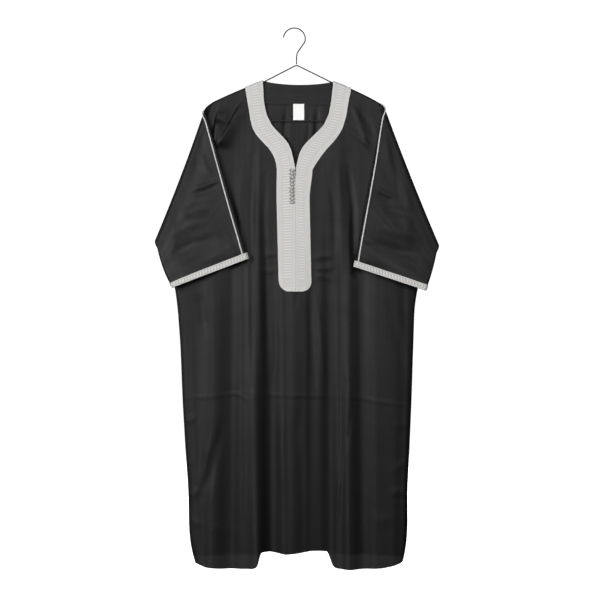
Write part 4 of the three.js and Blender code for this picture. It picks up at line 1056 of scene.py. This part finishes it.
under = FRAME_CLOTH + LAY + SEAM_HALF_GAP * 2
facing_right = SHOULDER["right"]["neck_x"] + FACING_END_CLEARANCE
facing_left = SHOULDER["left"]["neck_x"] - FACING_END_CLEARANCE
facing_x = np.linspace(facing_right, facing_left, 70)[:, None]
facing_start = np.maximum(back_top_arc(facing_x) + FACING_TOP_GAP, RIDGE_TURN * FACING_TOP_TURN)
facing_end = arc_at(facing_x, ridge_z(facing_x) - RIDGE_RADIUS - FACING_DEPTH)
facing_arc = mix(facing_start, facing_end, np.linspace(0, 1, 34))
facing_base = back_skin(facing_x, -facing_arc)
facing_out = normals(facing_base)
in_turned_edge = smooth((facing_arc - facing_end + TURNED_EDGE_DEPTH) / TURNED_EDGE_EASE)
turned_edge = TURNED_EDGE_HEIGHT * in_turned_edge[..., None]
facing_points, facing_faces = wall(
    facing_base - (under - FACING_LIFT) * facing_out,
    facing_base - (under + FACING_THICKNESS + turned_edge) * facing_out,
)
facing_cloth = np.stack([facing_arc, facing_x + 0 * facing_arc, 0 * facing_arc], axis=-1).reshape(-1, 3)
facing_cloth = np.concatenate([facing_cloth, facing_cloth])
facing = mesh_piece("neck_facing", facing_points, facing_faces, satin, facing_cloth)
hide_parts("back_neck_facing")

white_tape = Finish("white_woven_tape", Roughness=0.75, Sheen_Weight=0.15)
tape_rib = white_tape.node(
    "ShaderNodeTexWave", {"wave_type": "BANDS", "bands_direction": "Z"},
    {"Vector": white_tape.place(), "Scale": 520, "Distortion": 0.3},
)
tape_tone = white_tape.noise((300, 300, 300))
white_tape.surface(
    Base_Color=white_tape.colours(tape_tone, (0.80, 0.80, 0.79), (0.90, 0.90, 0.89)),
    Normal=white_tape.bump(tape_rib, 0.35, 0.00015),
)
label_x = LABEL_MIDDLE_X + LABEL_WIDTH * np.linspace(-0.5, 0.5, 16)[:, None]
label_z = mix(LABEL_TOP_Z, LABEL_BOTTOM_Z, np.linspace(0, 1, 26))
label_base = back_skin(label_x, -arc_at(label_x, label_z))
label_out = normals(label_base)
swing = LABEL_SWING * smooth((LABEL_TOP_Z - LABEL_SWING_START - label_z) / LABEL_SWING_LENGTH)
hang = under + LABEL_CLEARANCE + swing
from_edge = LABEL_WIDTH / 2 - np.abs(label_x - LABEL_MIDDLE_X)
edge_rib = LABEL_RIB_HEIGHT * smooth((LABEL_RIB_WIDTH - from_edge) / LABEL_RIB_EASE)
label_points, label_faces = wall(
    label_base - (hang + 0 * label_x)[..., None] * label_out,
    label_base - (hang + LABEL_THICKNESS + edge_rib)[..., None] * label_out,
)
label = mesh_piece("bare_label", label_points, label_faces, white_tape)
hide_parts("label")


# ---- Neck and placket braid ------------------------------------------------------------------------
# A flat braid of grey cord, about 47 mm wide, is sewn round the neck and down to a rounded
# placket. Cords run along its edges, and a ladder of short cross cords fills its middle.
BRAID_THICKNESS = 1.3  # with its cords
BRAID_GROUND = 0.6  # height of the ground between its cords
BRAID_SUNK = 0.3  # its underside reaches this far into the space below it
BRAID_STEP = 1.3
BRAID_ACROSS = np.linspace(0, 1, 52)  # places from the inner edge to the outer one
BRAID_END_GAP = 0.15
OUTER_CORDS = ((1.5, 1.5, 1.1), (4.6, 1.6, 0.95), (8.0, 1.7, 0.9), (11.4, 1.7, 0.9))
INNER_CORDS = ((1.3, 1.3, 1.0), (4.0, 1.3, 0.85), (6.8, 1.4, 0.8))  # both: place, radius, height
HIGHEST_CORD = 1.1
LADDER_CORD = (1.2, 1.1, 0.8)  # the cord beside the ladder: place past it, radius, height
CORD_TWIST_PITCH = 2.4
RUNG_PITCH = 7.3
RUNG_BOW = 0.05
RUNG_EASE = 1.2
LADDER_GROUND = 0.62
STITCH_PITCH = 3.1
STITCH_SLANT = 0.7
COLLAR_SOFTENING = 60
COLLAR_ROWS_OVER = 12
PLACKET_BOTTOM_Z = -699
PLACKET = {
    "right": {"top_x": -49, "bottom_x": -40.5, "corner": 28},
    "left": {"top_x": 38.5, "bottom_x": 45.5, "corner": 27},
}
PLACKET_EASE = 4
COLLAR_LADDER = (0.33, 0.72)  # parts of the width, from the outer edge
PLACKET_LADDER = {"right": (0.34, 0.76), "left": (0.41, 0.78)}
LADDER_CHANGE = 60  # the collar's ladder turns into the placket's over this length
LADDER_END = 33  # the ladder stops this far above the placket's lower edge
SLIT_EDGE = 0.15

grey_braid = Finish(
    "grey_braid", Roughness=0.62, Specular_IOR_Level=0.35, Sheen_Weight=0.25, Sheen_Roughness=0.5,
)
# Painted shade: the braid's base colour runs from a dark grey in the grooves between its cords, where shade
# falls, to the yarn colour on the cords' tops, by the cord height each piece holds as its cloth's third
# value.
painted_groove_shade = grey_braid.third()
yarn = grey_braid.noise((700, 260, 1), "cloth", detail=2)
patch = grey_braid.noise((26, 14, 1), "cloth", detail=2)
yarn_colour = grey_braid.colours(yarn * 0.6 + patch * 0.4, (0.55, 0.54, 0.53), (0.69, 0.68, 0.67))
twist_rib = grey_braid.node(
    "ShaderNodeTexWave", {"wave_type": "BANDS", "bands_direction": "DIAGONAL"},
    {"Vector": grey_braid.place((1, 1, 0), "cloth"), "Scale": 260, "Distortion": 1.2, "Detail": 1},
)
grey_braid.surface(
    Base_Color=grey_braid.colours(painted_groove_shade, (0.34, 0.335, 0.32), yarn_colour),
    Roughness=0.72 - 0.16 * painted_groove_shade,
    Normal=grey_braid.bump(twist_rib * 0.6 + yarn * 0.4, 0.4, 0.0004),
)


def cord_on(distance, at, radius, height):
    """Height of a round cord sewn along a line."""
    return height * np.sqrt(np.clip(1 - ((distance - at) / radius) ** 2, 0, 1))


def braid_relief(from_outer, from_inner, run, ladder_low, ladder_high):
    """Height of the braid's cords above its ground."""
    twist = 0.9 + 0.1 * np.cos(2 * np.pi * run / CORD_TWIST_PITCH)
    cords = [cord_on(from_outer, *cord) for cord in OUTER_CORDS]
    cords += [cord_on(from_inner, *cord) for cord in INNER_CORDS]
    past_ladder, radius, proud = LADDER_CORD
    cords.append(cord_on(from_outer, ladder_high + past_ladder, radius, proud))
    across = np.clip(np.minimum(from_outer - ladder_low, ladder_high - from_outer) / RUNG_EASE, 0, 1)
    bow = RUNG_BOW * (from_outer - ladder_low) ** 2 / np.maximum(1, ladder_high - ladder_low)
    rung = np.clip(0.62 + 0.5 * np.cos(2 * np.pi * (run + bow) / RUNG_PITCH), 0, 1)
    ladder = mix(LADDER_GROUND, 0.3 + 0.7 * rung, np.sqrt(across))
    stitch = 0.6 + 0.12 * np.cos(2 * np.pi * (run + STITCH_SLANT * from_outer) / STITCH_PITCH)
    return np.maximum(np.max(cords, axis=0) * twist, np.where(across > 0, ladder, stitch))


def braid_piece(name, base, relief, outward, run, from_outer):
    """A braid with a flat underside, laid on the cloth whose points are base."""
    out = normals(base, outward=outward)
    top = base + (LAY + BRAID_GROUND + relief)[..., None] * out
    points, faces = wall(top, base + (LAY - BRAID_SUNK) * out)
    # The cord height, kept as the cloth's third value, paints shade into the grooves; the underside gets 0
    # and so the darkest colour.
    height = np.clip(relief / HIGHEST_CORD, 0, 1)
    cloth = np.stack([from_outer, run, height], axis=-1).reshape(-1, 3)
    return mesh_piece(name, points, faces, grey_braid, np.concatenate([cloth, cloth * (1, 1, 0)]))


def collar_edges(side_name):
    """x and z of the collar's inner edge, then of its outer edge, in short steps."""
    stations = np.array(NECK_BAND[side_name], float)
    run = run_along((stations[:, :2] + stations[:, 2:]) / 2)
    dense = np.linspace(0, run[-1], int(run[-1] / BRAID_STEP))
    edges = np.stack([np.interp(dense, run, stations[:, k]) for k in range(4)], axis=1)
    return softened(edges, COLLAR_SOFTENING)


def placket_places(side_name, collar_end):
    """x and z of the places below the collar's end, and each one's distance from the outer edge,
    which turns round the lower corner."""
    placket = PLACKET[side_name]
    inner_top_x, inner_top_z, outer_top_x, outer_top_z = collar_end
    down = np.linspace(0, 1, int((inner_top_z - PLACKET_BOTTOM_Z) / BRAID_STEP))[1:, None]
    slit_x = SLIT_X + SIDES[side_name]["sign"] * SLIT_EDGE
    inner_x = mix(inner_top_x, slit_x, smooth(down * PLACKET_EASE * 2))
    eased_x = mix(outer_top_x, placket["top_x"], smooth(down * PLACKET_EASE))
    outer_x = mix(eased_x, placket["bottom_x"], down)
    x = mix(inner_x, outer_x, BRAID_ACROSS)
    straight_z = mix(mix(inner_top_z, outer_top_z, BRAID_ACROSS), PLACKET_BOTTOM_Z, down)
    radius = placket["corner"]
    aside = np.abs(outer_x - SLIT_X) - np.abs(x - SLIT_X)
    rise = radius - np.sqrt(np.maximum(0, radius**2 - np.maximum(0, radius - aside) ** 2))
    corner_z = PLACKET_BOTTOM_Z + radius
    rounded_z = corner_z + (straight_z - corner_z) * (1 - rise / radius)
    z = np.where(straight_z < corner_z, rounded_z, straight_z)
    above = z - PLACKET_BOTTOM_Z
    in_corner = (aside < radius) & (above < radius)
    from_arc = radius - np.hypot(radius - aside, radius - above)
    return x, z, np.where(in_corner, from_arc, np.minimum(aside, above))


def band_places(side_name):
    """A band's points, their distances from its outer and its inner edge, their run along it, and
    where its ladder starts and ends, from the outer edge."""
    edges = collar_edges(side_name)
    collar_x = mix(edges[:, :1], edges[:, 2:3], BRAID_ACROSS)
    collar_arc = arc_at(collar_x, mix(edges[:, 1:2], edges[:, 3:4], BRAID_ACROSS))
    over = np.linspace(0, 1, COLLAR_ROWS_OVER)[:-1, None]
    over_x = np.broadcast_to(collar_x[:1], (len(over), len(BRAID_ACROSS)))
    over_arc = mix(-seam_arc(over_x) + BRAID_END_GAP, collar_arc[:1], over)
    placket_x, placket_z, placket_from_outer = placket_places(side_name, edges[-1])
    first = len(over_x) + len(collar_x)
    grid = front_skin(
        np.concatenate([over_x, collar_x, placket_x]),
        np.concatenate([over_arc, collar_arc, arc_at(placket_x, placket_z)]),
    )
    run = run_along(grid[:, len(BRAID_ACROSS) // 3])[:, None]
    width = np.linalg.norm(grid[:, -1] - grid[:, 0], axis=1)[:, None]
    from_outer, from_inner = width * (1 - BRAID_ACROSS), width * BRAID_ACROSS
    from_outer[first:] = placket_from_outer
    in_placket = smooth((run - run[first] + LADDER_CHANGE) / LADDER_CHANGE)
    ladder_low = width * mix(COLLAR_LADDER[0], PLACKET_LADDER[side_name][0], in_placket)
    ladder_high = width * mix(COLLAR_LADDER[1], PLACKET_LADDER[side_name][1], in_placket)
    row_above = placket_z.max(axis=1, keepdims=True) - PLACKET_BOTTOM_Z
    ladder_high[first:] = np.where(row_above < LADDER_END, 0, ladder_high[first:])
    return grid, from_outer, from_inner, run + 0 * from_outer, ladder_low, ladder_high


for side_name, side in SIDES.items():
    grid, from_outer, from_inner, run, ladder_low, ladder_high = band_places(side_name)
    relief = braid_relief(from_outer, from_inner, run, ladder_low, ladder_high)
    braid_piece(f"neck_braid_{side_name}", grid, relief, side["sign"], run, from_outer)
    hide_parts(f"neck_band_{side_name}")

# The same braid goes on round the back neck, outside the back panel, between the shoulder seams.
BACK_BAND_WIDTH = 44
BACK_BAND_ROWS = 230
BACK_BAND_COLUMNS = 40
BACK_BAND_SEAM_GAP = 0.3

band_part = np.linspace(0, 1, BACK_BAND_ROWS)[:, None]
band_across = np.linspace(0, 1, BACK_BAND_COLUMNS)
right_first, left_first = NECK_BAND["right"][0], NECK_BAND["left"][0]
back_inner_x = mix(right_first[0], left_first[0], band_part)
back_outer_x = mix(right_first[2], left_first[2], (1 - np.cos(np.pi * band_part)) / 2)
back_inner_arc = back_top_arc(back_inner_x) + BRAID_END_GAP
back_reach = BACK_BAND_WIDTH * np.sin(np.pi * band_part) ** 0.75 + BACK_BAND_SEAM_GAP
back_grid = back_skin(
    mix(back_inner_x, back_outer_x, band_across),
    -mix(back_inner_arc, seam_arc(back_outer_x) + back_reach, band_across),
)
back_width = np.linalg.norm(back_grid[:, -1] - back_grid[:, 0], axis=1)[:, None]
back_run = run_along(back_grid[:, BACK_BAND_COLUMNS // 3 + 1])[:, None]
back_from_outer = back_width * (1 - band_across)
back_relief = braid_relief(
    back_from_outer, back_width * band_across, back_run, *(part * back_width for part in COLLAR_LADDER),
)
back_band = braid_piece(
    "neck_braid_back", back_grid, back_relief, 1, back_run + 0 * back_from_outer, back_from_outer,
)
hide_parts("neck_band_back")


# ---- Cuffs -------------------------------------------------------------------------------------------
# A narrow braid, 17 mm wide, is sewn round each sleeve's mouth: cords on each edge and slanted
# cross cords between them.
CUFF_WIDTH = 17
CUFF_GROUND = 0.7
CUFF_EDGE_CORDS = ((1.2, 1.2, 0.9), (3.4, 0.7, 0.5))  # place from either edge, radius, height
CUFF_RUNG_PITCH = 8.2
CUFF_RUNG_SLANT = 0.35
CUFF_RUNG_HEIGHT = 0.95
CUFF_RUNG_EDGE = 4
CUFF_ROWS = 18
CUFF_SPANS = 150


def cuff_travel(side_name, along, above):
    """How far down the flap a line lies that is above millimetres up from the cuff's edge."""
    start = sleeve_skin(side_name, 0, along, 0)
    return 1 - above / np.linalg.norm(start - sleeve_skin(side_name, 1, along, 0), axis=-1)


def cuff_relief(above, run, pitch):
    """Height of the cuff's cords above its ground."""
    edge = np.minimum(above, CUFF_WIDTH - above)
    cords = np.max([cord_on(edge, *cord) for cord in CUFF_EDGE_CORDS], axis=0)
    slanted = run + CUFF_RUNG_SLANT * above
    rung = np.clip(0.5 + 0.5 * np.cos(2 * np.pi * slanted / pitch), 0, 1) ** 0.7
    between = np.clip((edge - CUFF_RUNG_EDGE) / RUNG_EASE, 0, 1)
    return np.maximum(cords, CUFF_RUNG_HEIGHT * rung * between)


for side_name, side in SIDES.items():
    along, layer = sleeve_round(side_name, np.ones(CUFF_ROWS), CUFF_SPANS)
    above = CUFF_WIDTH * (1 - np.linspace(0, 1, CUFF_ROWS))[:, None]
    grid = sleeve_skin(side_name, cuff_travel(side_name, along, above), along, layer)
    middle = grid[CUFF_ROWS // 2 - 1]
    run = run_along(middle)
    total = run[-1] + np.linalg.norm(middle[0] - middle[-1])
    relief = cuff_relief(above, run, total / round(total / CUFF_RUNG_PITCH))
    out = normals(grid, around=True, outward=side["sign"])
    top = grid + (LAY + CUFF_GROUND + relief)[..., None] * out
    points, faces = wall(top, grid + (LAY - BRAID_SUNK) * out, around=True)
    # The cord height, as the cloth's third value, paints shade into the grooves between the cuff's cords;
    # the underside gets 0.
    cloth = np.stack([above + 0 * relief, run + 0 * relief, np.clip(relief, 0, 1)], axis=-1).reshape(-1, 3)
    cloth = np.concatenate([cloth, cloth * (1, 1, 0)])
    mesh_piece(f"cuff_braid_{side_name}", points, faces, grey_braid, cloth)
    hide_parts(f"cuff_{side_name}")


# ---- Piping ------------------------------------------------------------------------------------------
# A thin laid cord covers the shoulder seam and the sleeve's top seam. It runs from the neck braid
# just behind the shoulder, over the fold at its end and down the sleeve to the cuff's braid.
PIPING_RADIUS = 1.8
PIPING_SIDES = 10
PIPING_STEP = 1.4
PIPING_LAY = (3, 5.5, 0.18)  # strands, pitch of the lay, depth of its grooves
PIPING_END_GAP = 2
PIPING_CUFF_GAP = 0.9
SIDES["right"].update(piping_inset=(14, 15, 12))  # from the sleeve's top line: at the fold, halfway
SIDES["left"].update(piping_inset=(3, 9.5, 9))  # down the flap and at the cuff

light_cord = Finish("light_cord", Roughness=0.6, Sheen_Weight=0.2)
cord_tone = light_cord.noise((400, 400, 400))
light_cord.surface(
    Base_Color=light_cord.colours(cord_tone, (0.50, 0.49, 0.47), (0.66, 0.65, 0.63)),
    Normal=light_cord.bump(cord_tone, 0.3, 0.0003),
)


def lifted_path(points, near_u, near_v, toward):
    """Points moved off a surface to where the piping's middle runs. near_u and near_v are the same
    places a little way along it."""
    out = unit(np.cross(near_u - points, near_v - points))
    out[np.einsum("ij,ij->i", out, toward) < 0] *= -1
    return points + (PIPING_RADIUS + LAY) * out


def piping_on_shoulder(side_name):
    """The route along the shoulder seam, from the neck braid to the armhole."""
    gap = SIDES[side_name]["sign"] * PIPING_END_GAP
    x = np.linspace(NECK_BAND[side_name][0][2] + gap, SIDES[side_name]["armhole_x"] - gap, 60)
    arc = -seam_arc(x)
    on_seam, beside, below = (
        skin(x + dx, arc + darc, FRONT_FOLDS, ()) for dx, darc in ((0, 0), (0.5, 0), (0, 0.5))
    )
    middle = np.stack([x, 0 * x, ridge_z(x) - RIDGE_RADIUS], axis=1)
    return lifted_path(on_seam, beside, below, on_seam - middle)


def piping_on_sleeve(side_name):
    """The route round the sleeve's fold and down its flap to the cuff."""
    _, down, _, length = armhole(side_name)
    last = float(cuff_travel(side_name, 0.0, CUFF_WIDTH + PIPING_CUFF_GAP))
    travel = np.concatenate([np.linspace(-0.94, 0, 40), np.linspace(0, last, 160)[1:]])
    flap = np.clip(travel, 0, 1)
    at_top, at_middle, at_cuff = SIDES[side_name]["piping_inset"]
    upper, lower = mix(at_top, at_middle, smooth(flap * 3)), mix(at_middle, at_cuff, smooth(flap * 2 - 1))
    inset = np.where(flap < 0.5, upper, lower)
    along = inset / mix(length, cuff_length(side_name), flap)
    layer = np.sqrt(1 - (1 - np.clip(inset / SLEEVE_END_RADIUS, 0, 1)) ** 2)
    on_sleeve, further, beside = (
        sleeve_skin(side_name, travel + dt, along + da, layer) for dt, da in ((0, 0), (0.004, 0), (0, 0.004))
    )
    centre = sleeve_skin(side_name, travel, along, 0) + 4 * down
    return lifted_path(on_sleeve, further, beside, on_sleeve - centre)


for side_name in SIDES:
    route = np.concatenate([piping_on_shoulder(side_name), piping_on_sleeve(side_name)])
    route = softened(resample(route, PIPING_STEP), 12)
    points, faces, cloth = tube(route, PIPING_RADIUS, PIPING_SIDES, twist=PIPING_LAY)
    mesh_piece(f"piping_cord_{side_name}", points, faces, light_cord, cloth)
    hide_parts(f"piping_{side_name}")


# ---- Knotted buttons -----------------------------------------------------------------------------------
# Ten small knots of dull grey cord close the top of the placket. Each is a ball of wound cord in a
# loop of darker cord, which is sewn to the other side of the slit.
KNOT_COUNT = 10
KNOT_X = -5.2
KNOT_TOP_Z = -378
KNOT_PITCH = 9.4
KNOT_RADIUS = 2.9
KNOT_CORD = 1.05
KNOT_FLATTENED = 0.72
KNOT_TURN_DEGREES = (20, 80, 140)
KNOT_LIFT = 1.6
KNOT_LEAN = 0.25  # radians, at most
CORD_SIDES = 8
LOOP_HALF_SIZE = (6.2, 3.5)
LOOP_ASIDE = -0.6
LOOP_EGG = 0.12
LOOP_LIFT = 0.2
LOOP_CORD = 0.95
LOOP_LAY = (2, 3.2, 0.15)  # strands, pitch of the lay, depth of its grooves
SEAT_ABOVE_BRAID = 1.2

dull_cord = Finish("dull_cord", Roughness=0.66, Sheen_Weight=0.15)
knot_tone = dull_cord.noise((500, 500, 500), detail=3)
dull_cord.surface(
    Base_Color=dull_cord.colours(knot_tone, (0.42, 0.405, 0.39), (0.60, 0.59, 0.57)),
    Normal=dull_cord.bump(knot_tone, 0.35, 0.0004),
)
loop_cord = Finish("loop_cord", Roughness=0.66, Sheen_Weight=0.15)
loop_cord.surface(
    Base_Color=loop_cord.colours(loop_cord.noise((400, 400, 400)), (0.16, 0.15, 0.14), (0.30, 0.285, 0.27)),
)
ring = np.linspace(0, 2 * np.pi, 28, endpoint=False)


def joined(parts):
    """Several (points, faces, cloth) as one."""
    points, faces, cloth, first = [], [], [], 0
    for part_points, part_faces, part_cloth in parts:
        points.append(part_points)
        cloth.append(part_cloth)
        faces += [tuple(i + first for i in face) for face in part_faces]
        first += len(part_points)
    return np.concatenate(points), faces, np.concatenate(cloth)


def wound_knot(place, lean):
    """Three flattened turns of cord round a place."""
    turns = []
    for degrees in KNOT_TURN_DEGREES:
        tilt = math.radians(degrees) + lean
        turn = np.stack([
            np.cos(ring) * math.cos(tilt), KNOT_FLATTENED * np.sin(ring), np.cos(ring) * math.sin(tilt),
        ], axis=1)
        turns.append(tube(KNOT_RADIUS * turn + place, KNOT_CORD, CORD_SIDES, closed=True))
    return joined(turns)


def button_loop(place):
    """An oval of laid cord round a place, a little fuller at one end."""
    half_length, half_height = LOOP_HALF_SIZE
    oval = np.stack([
        half_length * np.cos(ring) + LOOP_ASIDE, 0 * ring,
        half_height * np.sin(ring) * (1 + LOOP_EGG * np.cos(ring)),
    ], axis=1)
    return tube(oval + place, LOOP_CORD, CORD_SIDES, closed=True, twist=LOOP_LAY)


knots, loops = [], []
for index in range(KNOT_COUNT):
    number = f"{index + 1:02d}"
    knot_z = KNOT_TOP_Z - index * KNOT_PITCH
    seat_y = front_skin(KNOT_X, arc_at(KNOT_X, knot_z))[1] - LAY - BRAID_THICKNESS - SEAT_ABOVE_BRAID
    points, faces, cloth = button_loop((KNOT_X, seat_y - LOOP_LIFT, knot_z))
    loops.append(mesh_piece(f"button_loop_{number}", points, faces, loop_cord, cloth))
    lean = KNOT_LEAN * math.sin(2.1 * index)
    points, faces, cloth = wound_knot((KNOT_X, seat_y - KNOT_LIFT, knot_z), lean)
    knot = mesh_piece(f"button_knot_{number}", points, faces, dull_cord, cloth)
    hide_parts(f"knot_{number}")
    knots.append(knot)
